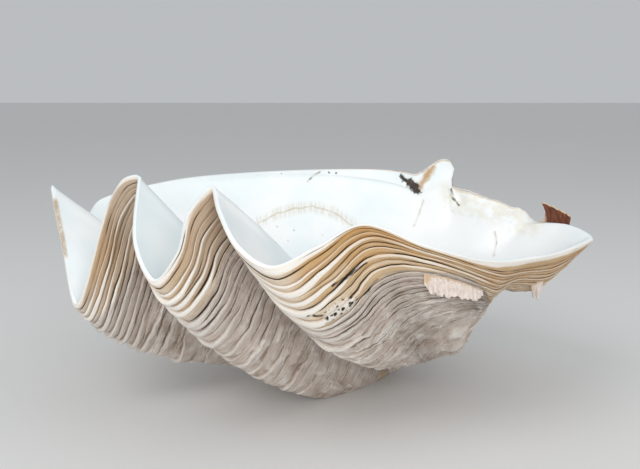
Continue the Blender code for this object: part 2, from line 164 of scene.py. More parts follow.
# How broad and white the youngest ledge is, right under the rim.
FIRST_BAND = {
    "right_tip": 0.35, "right_mid": 0.45, "valley_4": 0.85, "flank_4": 0.90, "peak_4": 0.10,
    "flank_3_right": 0.35, "valley_3": 1.00, "flank_3_mid": 0.90, "flank_3_left": 0.60, "peak_3": 0.40,
    "flank_2_right": 0.20, "flank_2_mid": 0.35, "valley_2": 0.70, "flank_2_left": 0.50, "peak_2": 0.30,
    "flank_1_right": 0.10, "flank_1_mid": 0.12, "valley_1": 0.60, "flank_1_left": 0.10, "peak_1": 0.20,
    "back_left": 1.20, "hinge": 1.20, "ligament_seat": 0.60,
}
# How much wider than elsewhere the band under the rim is.
BAND_SPREAD = {
    "right_tip": 0.30, "right_mid": 1.00, "valley_4": 1.00, "flank_4": 0.60, "peak_4": 0.00,
    "ligament_seat": 0.00,
}
# How broad and white the edges of the other ledges are.
WHITENESS = {
    "right_tip": 0.05, "right_mid": 0.05, "valley_4": 0.10, "flank_4": 0.15, "peak_4": 0.15,
    "flank_3_right": 0.35, "valley_3": 0.95, "flank_3_mid": 0.90, "flank_3_left": 0.40, "peak_3": 0.20,
    "flank_2_right": 0.15, "flank_2_mid": 0.35, "valley_2": 0.95, "flank_2_left": 0.50, "peak_2": 0.15,
    "flank_1_right": 0.12, "flank_1_mid": 0.20, "valley_1": 0.90, "flank_1_left": 0.25, "peak_1": 0.20,
    "valley_0": 0.60, "back_left": 0.35, "back_c": 0.20, "ligament_seat": 0.20,
}
# How open the gaps over the ledges are, and how dark their painted shade is.
OPENNESS = {
    "right_tip": 0.45, "right_mid": 0.35, "valley_4": 0.30, "flank_4": 0.60, "peak_4": 1.00,
    "flank_3_right": 1.00, "valley_3": 0.30, "flank_3_mid": 0.20, "peak_3": 0.40, "flank_2_right": 0.90,
    "flank_2_mid": 0.90, "valley_2": 0.20, "flank_2_left": 0.40, "peak_2": 0.60, "flank_1_right": 0.70,
    "flank_1_mid": 0.60, "valley_1": 0.20, "peak_1": 0.40, "back_left": 0.40, "back_c": 0.20,
    "back_d": 0.00, "step": 0.00, "ligament_seat": 0.20,
}
# Share of the outside's way that the bowl follows down each side, before the floor levels out.
FOLLOW = {
    "right_tip": 0.00, "right_front": 0.45, "valley_4": 0.45, "valley_3": 0.50, "valley_2": 0.56,
    "valley_1": 0.60, "valley_0": 0.55, "back_left": 0.30, "back_a": 0.00, "ligament_seat": 0.00,
}


class Surface(Enum):
    """The shell's two surfaces, in the order of its material slots."""

    OUTSIDE = 0
    INSIDE = 1


def ease(values: np.ndarray, low: float, high: float) -> np.ndarray:
    """Rise smoothly from 0 at low to 1 at high.

    Args:
        values: Numbers to grade.
        low: Where the rise starts.
        high: Where the rise ends.

    Returns:
        The share for each number, between 0 and 1.
    """
    share = np.clip((values - low) / (high - low), 0.0, 1.0)
    return share * share * (3.0 - 2.0 * share)


def ripple(points: np.ndarray, scale: float | Triple, offset: float = 0.0) -> np.ndarray:
    """Smooth noise at each point.

    Args:
        points: Places, with their three numbers last.
        scale: Bumps to the metre, for all axes or for each.
        offset: Shifts the pattern, so that two calls differ.

    Returns:
        A number between about -1 and 1 for each place.
    """
    flat = points.reshape(-1, 3) * np.array(scale) + offset
    values = [noise.noise(Vector(spot)) for spot in flat.tolist()]
    return np.array(values).reshape(points.shape[:-1])


@dataclass
class ValveForm:
    """The smooth form of the valve. A turn counts rim points, a place runs from the margin (0) to 1."""

    lip_crown: float = 0.0012
    base_place: Pair = (0.018, 0.080)
    base_reach: Pair = (0.120, 0.090)
    base_top: float = 0.090
    base_wear: float = 0.008
    bowl_floor: Triple = (0.060, 0.045, 0.092)
    bowl_wall_reach: float = 0.42
    bowl_floor_reach: float = 0.62
    wall_growth: float = 0.006
    level_share: float = 0.60
    full_follow: float = 0.45
    nudge: float = 0.004
    time_nudge: float = 0.003
    least_pace: float = 0.10
    names: list[str] = field(init=False)

    def __post_init__(self) -> None:
        """Spread the named values over the rim points."""
        self.names = [row[0] for row in MARGIN]
        self.points = np.array([row[1:4] for row in MARGIN])
        self.roundness = np.array([row[4] for row in MARGIN])
        self.even = np.ones(len(MARGIN))
        self.margin_pull = self.around({name: pulls[0] for name, pulls in RUNS.items()})
        self.beak_pull = self.around({name: pulls[1] for name, pulls in RUNS.items()})
        self.lip = self.around(LIP_WIDTH)
        self.young_line = self.around(YOUNG_LINE)
        self.old_line = self.around(OLD_LINE)
        self.crowding = self.around(CROWDING)
        self.followed = self.around(FOLLOW)
        self.beak = np.array(BEAK)

    def turn_of(self, name: str) -> int:
        """Where a named rim point lies on the way round."""
        return self.names.index(name)

    def around(self, table: dict) -> np.ndarray:
        """Spread values given at some rim points over all of them.

        Args:
            table: A number or a vector for each named rim point.

        Returns:
            One row of numbers for each rim point.
        """
        count = len(self.names)
        keys = sorted((self.turn_of(name), np.atleast_1d(value)) for name, value in table.items())
        spread = np.zeros((count, len(keys[0][1])))
        for order, (start, first) in enumerate(keys):
            end, last = keys[(order + 1) % len(keys)]
            span = (end - start) % count or count
            for step in range(span):
                share = ease(np.array(step / span), 0.0, 1.0)
                spread[(start + step) % count] = first * (1 - share) + last * share
        return spread

    def through(
        self, values: np.ndarray, turns: np.ndarray, roundness: np.ndarray | None = None
    ) -> np.ndarray:
        """A smooth closed curve through the values of the rim points.

        Args:
            values: One row for each rim point.
            turns: Places on the way round, counted in rim points.
            roundness: How round the curve is at each rim point.

        Returns:
            The curve's value at each turn.
        """
        count = len(values)
        rounds = self.even if roundness is None else roundness
        index = np.floor(turns).astype(int)
        part = (turns - index)[..., None]
        before, first, last, after = (values[(index + step) % count] for step in (-1, 0, 1, 2))
        leave = (last - before) * (0.5 * rounds[index % count])[..., None]
        arrive = (after - first) * (0.5 * rounds[(index + 1) % count])[..., None]
        square = part * part
        cube = square * part
        start = first * (2 * cube - 3 * square + 1) + leave * (cube - 2 * square + part)
        return start + last * (3 * square - 2 * cube) + arrive * (cube - square)

    @staticmethod
    def bend(
        start: np.ndarray, first: np.ndarray, last: np.ndarray, end: np.ndarray, place: np.ndarray
    ) -> np.ndarray:
        """A curve from start to end, leaving towards first and arriving from last.

        Args:
            start: Where it begins.
            first: The point that it leaves towards.
            last: The point that it arrives from.
            end: Where it ends.
            place: How far along it, from 0 to 1.

        Returns:
            The curve's points at those places.
        """
        part = np.asarray(place)[..., None]
        rest = 1 - part
        curve = start * rest**3 + first * (3 * rest * rest * part)
        return curve + last * (3 * rest * part * part) + end * part**3

    def outside(self, turns: np.ndarray, places: np.ndarray) -> np.ndarray:
        """Points on the smooth outside.

        Args:
            turns: Places on the way round.
            places: Places from the margin (0) to the beak (1).

        Returns:
            The points.
        """
        margin = self.through(self.points, turns, self.roundness)
        first = margin + self.through(self.margin_pull, turns)
        last = self.beak + self.through(self.beak_pull, turns)
        return self.bend(margin, first, last, self.beak, places)

    def outward(self, turns: np.ndarray, places: np.ndarray) -> np.ndarray:
        """Directions pointing out of the shell.

        Args:
            turns: Places on the way round.
            places: Places from the margin (0) to the beak (1).

        Returns:
            A direction of length 1 for each.
        """
        along = self.outside(turns + self.nudge, places) - self.outside(turns - self.nudge, places)
        low = np.maximum(np.asarray(places) - self.nudge, 0.0)
        down = self.outside(turns, low + 2 * self.nudge) - self.outside(turns, low)
        normal = np.cross(along, down)
        return normal / np.linalg.norm(normal, axis=-1, keepdims=True)

    def grown(self, turns: np.ndarray, times: np.ndarray) -> np.ndarray:
        """How far on the way to the beak the growth lines of these times lie.

        Args:
            turns: Places on the way round.
            times: Times counted back from the margin (0) to the beak (1).

        Returns:
            Places on the way from the margin (0) to the beak (1).
        """
        young = self.through(self.young_line, turns)[..., 0]
        old = self.through(self.old_line, turns)[..., 0]
        crowding = self.through(self.crowding, turns)[..., 0]
        first = young * (np.clip(times, 0.0, YOUNG_TIME) / YOUNG_TIME) ** crowding
        second = (old - young) * np.clip((times - YOUNG_TIME) / (OLD_TIME - YOUNG_TIME), 0.0, 1.0)
        return first + second + (1 - old) * np.clip((times - OLD_TIME) / (1 - OLD_TIME), 0.0, 1.0)

    def pace(self, turns: np.ndarray, times: np.ndarray) -> np.ndarray:
        """Metres on the surface for one unit of time, with a least value where the lines crowd.

        Args:
            turns: Places on the way round.
            times: Times counted back from the margin (0) to the beak (1).

        Returns:
            The metres for each.
        """
        later = self.outside(turns, self.grown(turns, times + self.time_nudge))
        step = later - self.outside(turns, self.grown(turns, times))
        return np.maximum(np.linalg.norm(step, axis=-1) / self.time_nudge, self.least_pace)

    def worn(self, points: np.ndarray) -> np.ndarray:
        """Lower the points that lie over the flattened underside on to it.

        Args:
            points: Places on the outside.

        Returns:
            The places after the wear.
        """
        wide = (points[..., 0] - self.base_place[0]) / self.base_reach[0]
        deep = (points[..., 1] - self.base_place[1]) / self.base_reach[1]
        share = np.exp(-((wide * wide + deep * deep) ** 2))
        height = np.clip((self.base_top - points[..., 2]) / self.base_top, 0.0, 1.0)
        share = share * np.minimum(2 * height, 1.0)
        level = points[..., 2] - share * (points[..., 2] + self.base_wear)
        lowered = points.copy()
        lowered[..., 2] = np.maximum(level, 0.0)
        return lowered

    def inner_edge(self, turns: np.ndarray) -> np.ndarray:
        """The inner edge of the rim."""
        start = np.zeros_like(turns)
        return self.outside(turns, start) - self.outward(turns, start) * self.through(self.lip, turns)

    def inside(self, turns: np.ndarray, place: float) -> np.ndarray:
        """A ring of the bowl.

        Args:
            turns: Places on the way round.
            place: The ring's place from the rim's inner edge (0) to the middle of the floor (1).

        Returns:
            The ring's points.
        """
        edge = self.inner_edge(turns)
        floor = np.array(self.bowl_floor)
        pull = self.through(self.margin_pull, turns)
        growth = self.outward(turns, np.zeros_like(turns)) * -self.wall_growth
        foot = edge.copy()
        foot[:, 2] = floor[2]
        ring = floor + (foot - floor) * self.bowl_floor_reach
        places = np.full(turns.shape, place)
        steep = self.bend(edge, edge + pull * self.bowl_wall_reach + growth, ring, floor, places)
        share = np.maximum(self.through(self.followed, turns), 0.0)
        first = edge + pull
        last = self.beak + self.through(self.beak_pull, turns)
        start = edge + (first - edge) * share
        middle = first + (last - first) * share
        follow = start + (middle - start) * share
        follow[:, 2] += (floor[2] - follow[:, 2]) * self.level_share
        followed = self.bend(edge, start + growth, follow, floor, places)
        return steep + (followed - steep) * np.minimum(share / self.full_follow, 1.0)


@dataclass(frozen=True)
class Dent:
    """A soft dent or swell: its middle, its reach along each axis, and how far the middle moves."""

    place: Triple
    reach: Triple
    depth: Triple

    def shift(self, points: np.ndarray) -> np.ndarray:
        """How far each point moves."""
        away = (points - np.array(self.place)) / np.array(self.reach)
        return np.exp(-(away**2).sum(axis=-1))[..., None] * np.array(self.depth)


@dataclass(frozen=True)
class HingeRelief:
    """The hinge tooth, the pocket on its left, the notch on its right, and the plate's lumps and step."""

    tooth_place: Pair = (0.176, 0.186)
    tooth_along: Pair = (0.905, -0.425)
    tooth_height: float = 0.037
    tooth_left: Pair = (-0.040, 0.002)
    tooth_right: Pair = (0.008, 0.023)
    tooth_reach: float = 0.018
    tooth_lean: float = 0.22
    tooth_foot: Pair = (0.195, 0.235)
    pocket: Dent = Dent((0.138, 0.182, 0.260), (0.012, 0.014, 0.009), (0.0, 0.016, -0.005))
    shelf: Dent = Dent((0.138, 0.176, 0.247), (0.015, 0.012, 0.006), (0.0, -0.005, 0.001))
    notch: Dent = Dent((0.206, 0.166, 0.248), (0.008, 0.012, 0.014), (0.002, 0.007, -0.005))
    swell: Dent = Dent((0.168, 0.150, 0.215), (0.020, 0.040, 0.040), (0.0, -0.008, 0.005))
    bulge: Dent = Dent((0.190, 0.183, 0.284), (0.012, 0.022, 0.011), (0.008, 0.0, -0.001))
    step: Dent = Dent((0.287, 0.121, 0.224), (0.020, 0.030, 0.022), (0.004, 0.0, 0.0065))
    plate_ends: tuple[Triple, ...] = ((0.203, 0.180, 0.250), (0.305, 0.110, 0.217))
    plate_reach: float = 0.040
    plate_fade: float = 0.12
    plate_lumps: float = 0.0042
    plate_lift: float = 0.35
    coarse_lumps: Triple = (52.0, 52.0, 30.0)
    fine_lumps: Triple = (125.0, 125.0, 80.0)

    def tooth(self, points: np.ndarray) -> np.ndarray:
        """How far the tooth lifts each point.

        Args:
            points: Places on the smooth form.

        Returns:
            The lift in metres.
        """
        east, north = self.tooth_along
        x = points[..., 0] - self.tooth_place[0]
        y = points[..., 1] - self.tooth_place[1]
        along = x * east + y * north
        across = (y * east - x * north) / self.tooth_reach
        rise = ease(along, *self.tooth_left) * (1.0 - ease(along, *self.tooth_right))
        return self.tooth_height * rise * np.exp(-(across**2)) * ease(points[..., 2], *self.tooth_foot)

    def layers(self, points: np.ndarray) -> np.ndarray:
        """The lumpy layers of the plate right of the tooth.

        Args:
            points: Places on the smooth form.

        Returns:
            The shift of each.
        """
        start, end = np.array(self.plate_ends)
        way = end - start
        along = np.clip(((points - start) @ way) / (way @ way), 0.0, 1.0)
        away = np.linalg.norm(points - start - along[..., None] * way, axis=-1)
        near = 1.0 - ease(away, 0.5 * self.plate_reach, self.plate_reach)
        near *= ease(along, 0.0, self.plate_fade) * (1.0 - ease(along, 1.0 - self.plate_fade, 1.0))
        lumps = ripple(points, self.coarse_lumps, 2.0) + 0.6 * ripple(points, self.fine_lumps, 9.0)
        return (near * (self.plate_lift + lumps) * self.plate_lumps)[..., None] * np.array((0.0, 0.15, 1.0))

    def shaped(self, points: np.ndarray, surface: Surface) -> np.ndarray:
        """The points with the relief on them.

        Args:
            points: Places on the smooth form.
            surface: Which surface they lie on, as the dents are on the inside only.

        Returns:
            The shifted places.
        """
        rise = self.tooth(points)
        moved = points.copy()
        if surface is Surface.INSIDE:
            for dent in (self.pocket, self.notch, self.swell, self.shelf):
                moved += dent.shift(points)
        moved[..., 2] += rise
        moved[..., 0] += rise * self.tooth_lean
        moved += self.layers(points)
        moved += self.step.shift(points)
        return moved + self.bulge.shift(moved)


@dataclass(frozen=True)
class Ledge:
    """One growth ledge: its time, its height and its edge's width in metres, and its look: how white its
    edge is, and how open the gap over it is, which sets that gap's depth and painted shade.
    """

    time: float
    height: float
    edge: float
    white: float
    # How open the gap over the ledge is: it deepens the gap and darkens it with painted shade.
    gap: float


LEDGES = (
    Ledge(0.0022, 0.0010, 0.0085, 1.00, 0.70),
    Ledge(0.0150, 0.0014, 0.0010, 0.15, 0.80),
    Ledge(0.0264, 0.0018, 0.0016, 0.70, 0.30),
    Ledge(0.0374, 0.0036, 0.0062, 1.00, 0.60),
    Ledge(0.0480, 0.0012, 0.0010, 0.50, 0.50),
    Ledge(0.0565, 0.0028, 0.0036, 0.80, 0.50),
    Ledge(0.0704, 0.0042, 0.0066, 1.00, 1.00),
    Ledge(0.0820, 0.0014, 0.0012, 0.60, 0.70),
    Ledge(0.0940, 0.0038, 0.0052, 0.95, 1.00),
    Ledge(0.1090, 0.0020, 0.0026, 0.80, 0.60),
    Ledge(0.1220, 0.0034, 0.0044, 0.90, 0.80),
    Ledge(0.1370, 0.0014, 0.0016, 0.50, 0.60),
    Ledge(0.1500, 0.0030, 0.0040, 0.85, 0.60),
    Ledge(0.1650, 0.0014, 0.0016, 0.40, 0.50),
    Ledge(0.1820, 0.0032, 0.0036, 0.80, 0.50),
    Ledge(0.2000, 0.0014, 0.0016, 0.40, 0.45),
    Ledge(0.2200, 0.0030, 0.0034, 0.75, 0.45),
    Ledge(0.2430, 0.0013, 0.0016, 0.35, 0.40),
    Ledge(0.2680, 0.0026, 0.0030, 0.65, 0.40),
    Ledge(0.3000, 0.0007, 0.0018, 0.30, 0.35),
    Ledge(0.3350, 0.0020, 0.0028, 0.50, 0.25),
    Ledge(0.3800, 0.0006, 0.0020, 0.20, 0.20),
    Ledge(0.4300, 0.0009, 0.0024, 0.20, 0.15),
    Ledge(0.5000, 0.0005, 0.0024, 0.15, 0.10),
    Ledge(0.5700, 0.0005, 0.0024, 0.15, 0.05),
    Ledge(0.6600, 0.0004, 0.0024, 0.10, 0.05),
    Ledge(0.7700, 0.0004, 0.0024, 0.10, 0.05),
    Ledge(0.8800, 0.0004, 0.0024, 0.10, 0.05),
)


@dataclass
class RowSet:
    """Rows of points running round the shell, with what each row says about its surface."""

    times: list[np.ndarray] = field(default_factory=list)
    lifts: list[np.ndarray] = field(default_factory=list)
    measures: dict[str, list[np.ndarray]] = field(default_factory=dict)

    def add(self, time: np.ndarray, lift: np.ndarray, **measures: np.ndarray | float) -> None:
        """Add one row.

        Args:
            time: When the row's place at each column was laid down.
            lift: How far it stands out of the smooth form, in metres.
            measures: What the row says about its surface, by name.
        """
        self.times.append(time)
        self.lifts.append(lift)
        for name, value in measures.items():
            self.measures.setdefault(name, []).append(np.zeros_like(time) + value)


@dataclass
class GrowthLedges:
    """The stacked growth ledges of the outside. Wave counts say how often each wave fits round the shell."""

    turns: np.ndarray
    form: ValveForm
    first_line: float = 0.0008
    least_step: float = 0.0016
    old_time: float = 0.15
    last_gap: float = 0.03
    band_spread: float = 0.013
    least_share: float = 0.05
    overhang: float = 0.0008
    sill_drop: float = 0.0007
    crack_depth: float = 0.0012
    full_gap: float = 0.005
    full_height: float = 0.0026
    broad_height: float = 0.0015
    face_drop: float = 0.0016
    young_wander: float = 0.20
    old_wander: float = 0.30
    raggedness: float = 0.25
    young_faces: tuple[float, ...] = (0.5,)
    old_faces: tuple[float, ...] = (0.33, 0.67)
    drift_waves: tuple[int, ...] = (2, 3, 5, 9, 14, 23)
    ragged_waves: tuple[int, ...] = (37, 53, 71, 97, 131)
    height_waves: tuple[int, ...] = (4, 7, 11, 19, 31)
    tone_waves: tuple[int, ...] = (3, 5, 8, 13)
    breadth_waves: tuple[int, ...] = (5, 9, 17, 29)
    crack_waves: tuple[int, ...] = (6, 11, 17, 27, 41)
    fading_waves: tuple[int, ...] = (7, 13, 23, 37)
    rough_height: float = 0.0022
    coarse_lumps: float = 48.0
    fine_lumps: float = 140.0
    streaks_round: float = 12.0
    streaks_deep: float = 85.0
    seed: int = 5

    def __post_init__(self) -> None:
        """Spread the looks of the ledges over the columns."""
        self.share = self.round_rim(LEDGE_FACTOR, self.least_share, math.inf)
        self.whiteness = self.round_rim(WHITENESS)
        self.first_band = self.round_rim(FIRST_BAND)
        self.openness = self.round_rim(OPENNESS)
        self.warmth = self.round_rim(WARMTH, 0.0, 1.0)

    def round_rim(self, table: dict, low: float = 0.0, high: float = 1.2) -> np.ndarray:
        """Spread a table over the columns.

        Args:
            table: A number for each named rim point.
            low: The least value kept.
            high: The greatest value kept.

        Returns:
            The value at each column.
        """
        return np.clip(self.form.through(self.form.around(table), self.turns)[:, 0], low, high)

    def waves(self, draw: np.random.Generator, counts: tuple[int, ...], size: float) -> np.ndarray:
        """A closed wavering line round the shell, made of waves that fit a whole number of times.

        Args:
            draw: Source of the random draws.
            counts: How many times each wave fits round the shell.
            size: The wave's height.

        Returns:
            The line's height at each column.
        """
        way = np.linspace(0.0, 2 * math.pi, len(self.turns), endpoint=False)
        line = np.zeros_like(way)
        for count in counts:
            line += draw.uniform(0.4, 1.0) * np.sin(count * way + draw.uniform(0.0, 2 * math.pi))
        return line * size / math.sqrt(len(counts))

    def lines(self, draw: np.random.Generator) -> list[np.ndarray]:
        """The wavering line along which each ledge begins.

        Args:
            draw: Source of the random draws.

        Returns:
            The time at each column, for one ledge after the other from the margin.
        """
        times = [ledge.time for ledge in LEDGES] + [1.0]
        found = []
        for order, time in enumerate(times[:-1]):
            room = min(time - times[order - 1] if order else time, times[order + 1] - time)
            wander = self.young_wander if time < self.old_time else self.old_wander
            drift = self.waves(draw, self.drift_waves, wander * room)
            ragged = self.waves(draw, self.ragged_waves, self.raggedness * wander * room)
            line = time + drift + ragged
            if order == 1:
                line = line + self.band_spread * self.round_rim(BAND_SPREAD, -math.inf, math.inf)
            found.append(np.maximum(line, found[-1] + self.least_step if found else self.first_line))
        return found

    def rows(self) -> RowSet:
        """Lay out every row of the outside.

        Returns:
            The rows, from the margin to the beak.
        """
        draw = np.random.default_rng(self.seed)
        zero = np.zeros_like(self.turns)
        lines = self.lines(draw)
        rows = RowSet()
        look = {"pale": self.whiteness, "warm": self.warmth}
        rows.add(zero, zero, phase=0.0, crack=0.0, tone=0.9, white=1.0, **look)
        for order, at in enumerate(lines):
            after = lines[order + 1] if order + 1 < len(lines) else at + self.last_gap
            self.add_ledge(rows, draw, order, at, after)
        return rows

    def add_ledge(
        self, rows: RowSet, draw: np.random.Generator, order: int, at: np.ndarray, after: np.ndarray
    ) -> None:
        """Add the rows of one ledge: the gap over it, its edge, its face and its foot.

        Args:
            rows: The rows so far.
            draw: Source of the random draws.
            order: The ledge's place in the order from the margin.
            at: The line along which it begins.
            after: The line along which the next one begins.
        """
        ledge = LEDGES[order]
        pace = self.form.pace(self.turns, at)
        gap = after - at
        room = np.clip(gap * pace / self.full_gap, 0.15, 1.0)
        uneven = 0.35 if ledge.time < self.old_time else 0.75
        vary = np.clip(1.0 + self.waves(draw, self.height_waves, uneven), 0.1, 1.8)
        height = ledge.height * self.share * vary * room
        tone = np.clip(draw.uniform(0.1, 0.9) + self.waves(draw, self.tone_waves, 0.18), 0.0, 1.0)
        breadth = self.first_band if order == 0 else self.whiteness
        wide = np.clip(1.0 + self.waves(draw, self.breadth_waves, 0.40), 0.25, 1.8) * (0.10 + breadth)
        edge = np.minimum(ledge.edge * wide, 0.55 * gap * pace) / pace
        size = np.clip(height / self.full_height, 0.12, 1.0)
        over = np.minimum(self.overhang * size, 0.12 * gap * pace) / pace
        patchy = np.clip(0.65 + self.waves(draw, self.crack_waves, 0.75), 0.0, 1.0)
        # crack: how open the gap over the ledge is; it sets the gap's depth here and its painted shade in
        # the finish.
        opened = np.maximum(self.openness, self.first_band * 1.3) if order == 1 else self.openness
        crack = np.clip(ledge.gap * opened * patchy * 1.4, 0.0, 1.0)
        fading = np.clip(1.0 + self.waves(draw, self.fading_waves, 0.35), 0.3, 1.0)
        white = np.clip(ledge.white * (0.28 + 0.85 * breadth) * fading, 0.0, 1.0)
        look = {"tone": tone, "pale": self.whiteness, "warm": self.warmth}
        rim = {"phase": 0.0, "crack": 0.0, "white": white, **look}
        face = {"crack": 0.0, "white": 0.0, **look}
        if order == 0:
            rows.add(at, np.zeros_like(at), **{**rim, "crack": crack * 0.6})
        else:
            depth = self.crack_depth * size * (0.3 + crack)
            rows.add(at, -depth, phase=1.0, crack=crack, white=0.0, **look)
        if ledge.height > self.broad_height:
            rows.add(at - over, height * 0.88, **rim)
            rows.add(at + edge * 0.35, height * 1.05, **rim)
            rows.add(at + edge, height * 0.95, **{**rim, "phase": 0.1})
        else:
            rows.add(at + edge * 0.4, height, **rim)
        top = at + edge + np.minimum(self.face_drop / pace, 0.15 * gap)
        rows.add(top, height * 0.85, phase=0.2, **face)
        sill = np.maximum(after - (self.overhang + self.sill_drop) / pace, top + 0.4 * (after - top))
        for part in self.old_faces if ledge.time > self.old_time else self.young_faces:
            rows.add(top + (sill - top) * part, height * (0.9 - 0.8 * part), phase=0.2 + 0.8 * part, **face)
        rows.add(sill, height * 0.10, phase=1.0, **face)

    def weathered(
        self, points: np.ndarray, normals: np.ndarray, times: np.ndarray
    ) -> tuple[np.ndarray, np.ndarray]:
        """Roughen the older part of the shell.

        Args:
            points: The rows' points.
            normals: The directions out of the shell there.
            times: When each was laid down.

        Returns:
            The shifted points, and how high or low each lies on the worn surface, between about -1 and 1.
        """
        angle = self.turns * 2 * math.pi / len(MARGIN)
        round_way = np.stack((np.cos(angle), np.sin(angle)), axis=-1) * self.streaks_round
        wide = np.broadcast_to(round_way, (*times.shape, 2))
        along_lines = np.concatenate((wide, times[..., None] * self.streaks_deep), axis=-1)
        streaks = ripple(along_lines, 1.0, 3.0) + 0.6 * ripple(along_lines, (3.0, 3.0, 1.6), 11.0)
        coarse = ripple(points, self.coarse_lumps)
        fine = ripple(points, self.fine_lumps, 7.0)
        worn = ease(times, 0.10, 0.24) * (1.0 - 0.8 * ease(times, 0.75, 0.95))
        relief = (coarse * 0.9 + fine * 0.7 + streaks * 1.1) * worn
        return points + normals * (relief * self.rough_height)[..., None], relief


@dataclass
class Valve:
    """The valve itself, one closed mesh that stands for the solid shell."""

    form: ValveForm = field(default_factory=ValveForm)
    front_step: float = 0.0049
    hinge_step: float = 0.0043
    back_step: float = 0.0095
    measured_spots: int = 6401
    last_time: float = 0.985
    lip_rows: tuple[float, ...] = (0.12, 0.28, 0.46, 0.64, 0.82)
    bowl_rows: int = 36
    bowl_end: float = 0.975
    least_wall: float = 0.015
    full_wall: float = 0.3
    floor_wall: float = 0.016
    floor_ease: float = 0.012
    floor_start: float = 0.4
    floor_full: float = 0.3
    floor_blend: float = 0.0004
    floor_rays: int = 8
    wall_end: float = 0.90
    smoothing: int = 50
    last_smoothing: int = 4
    folds_start: float = 0.25
    folds_at_rim: float = 40.0
    rim_age: float = 0.006
    hinge: HingeRelief = field(default_factory=HingeRelief)

    def columns(self) -> np.ndarray:
        """Lay out the columns, closer together where the shell has more to show.

        Returns:
            Each column's place on the way round.
        """
        fine = np.linspace(0.0, len(MARGIN), self.measured_spots)
        spots = self.form.through(self.form.points, fine, self.form.roundness)
        lengths = np.linalg.norm(np.diff(spots, axis=0), axis=1)
        middles = (fine[1:] + fine[:-1]) / 2
        step = np.full_like(middles, self.front_step)
        plate_start = self.form.turn_of("back_d")
        step[(middles > self.form.turn_of("back_left") + 0.5) & (middles < plate_start)] = self.back_step
        step[(middles > plate_start) & (middles < self.form.turn_of("step") + 0.5)] = self.hinge_step
        counted = np.concatenate(([0.0], np.cumsum(lengths / step)))
        count = int(round(counted[-1]))
        return np.interp(np.arange(count) * counted[-1] / count, counted, fine)

    def skin(self, turns: np.ndarray) -> BVHTree:
        """The smooth outside as a surface to measure the wall from.

        Args:
            turns: The columns' places on the way round.

        Returns:
            The surface.
        """
        levels = np.concatenate((np.linspace(0.0, 0.45, 40), np.linspace(0.48, 0.97, 20)))
        wide = np.broadcast_to(turns, (len(levels), len(turns)))
        deep = np.broadcast_to(levels[:, None], wide.shape)
        spots = self.form.worn(self.form.outside(wide, deep)).reshape(-1, 3)
        return BVHTree.FromPolygons(spots.tolist(), ring_faces(len(levels), len(turns)))

    def clear_of_skin(self, ring: np.ndarray, least: np.ndarray, skin: BVHTree) -> np.ndarray:
        """Move points inwards until the wall behind them is thick enough.

        Args:
            ring: Points of the bowl.
            least: The least wall at each, in metres.
            skin: The outside.

        Returns:
            The moved points.
        """
        moved = ring.copy()
        for index, spot in enumerate(ring.tolist()):
            point = Vector(spot)
            for _ in range(4):
                near, normal, _, _ = skin.find_nearest(point)
                depth = -(point - near).dot(normal)
                if depth >= least[index]:
                    break
                point = point - normal * (least[index] - depth)
            moved[index] = point
        return moved

    def over_the_grooves(self, ring: np.ndarray, skin: BVHTree, place: float) -> np.ndarray:
        """Lift points so that the floor passes smoothly over the grooves between the ribs.

        Args:
            ring: Points of the bowl.
            skin: The outside.
            place: The ring's place from the rim (0) to the middle of the floor (1).

        Returns:
            The lifted points.
        """
        reach = self.floor_ease * min(max((place - self.floor_start) / self.floor_full, 0.0), 1.0)
        if reach == 0.0:
            return ring
        angles = [step * 2 * math.pi / self.floor_rays for step in range(self.floor_rays)]
        shifts = [(reach * math.cos(angle), reach * math.sin(angle)) for angle in angles] + [(0.0, 0.0)]
        lifted = ring.copy()
        for index, (x, y, z) in enumerate(ring.tolist()):
            highest = 0.0
            for wide, deep in shifts:
                hit = skin.ray_cast(Vector((x + wide, y + deep, 1.0)), Vector((0.0, 0.0, -1.0)))[0]
                highest = max(highest, hit.z if hit is not None else 0.0)
            gap = z - highest - self.floor_wall
            lift = 0.5 * (gap + math.sqrt(gap * gap + self.floor_blend))
            lifted[index, 2] = highest + self.floor_wall + lift
        return lifted

    def bowl(self, turns: np.ndarray) -> tuple[np.ndarray, np.ndarray]:
        """The rings of the bowl, from the rim's inner edge to close round the middle of the floor.

        Args:
            turns: The columns' places on the way round.

        Returns:
            The rings' points, and each ring's place from 0 to 1.
        """
        skin = self.skin(turns)
        places = np.linspace(0.0, self.bowl_end, self.bowl_rows) ** 1.1
        lip = np.minimum(self.form.through(self.form.lip, turns)[:, 0], self.least_wall)
        walls = [lip + (self.least_wall - lip) * min(place / self.full_wall, 1.0) for place in places]
        rings = []
        for place, wall in zip(places, walls):
            ring = self.form.inside(turns, place)
            if place > 0.0:
                ring = self.clear_of_skin(ring, wall, skin)
            ring = self.over_the_grooves(ring, skin, place)
            if place > self.folds_start:
                ring = round_off(ring, self.folds_at_rim * (1.0 - place) ** 1.6 + 1.0)
            rings.append(ring)
        grid = relaxed(np.array(rings), self.smoothing)
        for index, (place, wall) in enumerate(zip(places, walls)):
            if 0.0 < place < self.wall_end:
                kept = 0.7 + 0.25 * min(place / 0.6, 1.0)
                grid[index] = self.clear_of_skin(grid[index], wall * kept, skin)
        return relaxed(grid, self.last_smoothing), places

    def lip(self, turns: np.ndarray) -> np.ndarray:
        """The rows between the rim's outer and inner edge, slightly crowned.

        Args:
            turns: The columns' places on the way round.

        Returns:
            The rows' points.
        """
        edge = self.form.outside(turns, np.zeros_like(turns))
        inner = self.form.inner_edge(turns)
        rings = []
        for share in self.lip_rows:
            ring = edge + (inner - edge) * share
            ring[:, 2] += 4 * share * (1 - share) * self.form.lip_crown
            rings.append(ring)
        return np.array(rings)

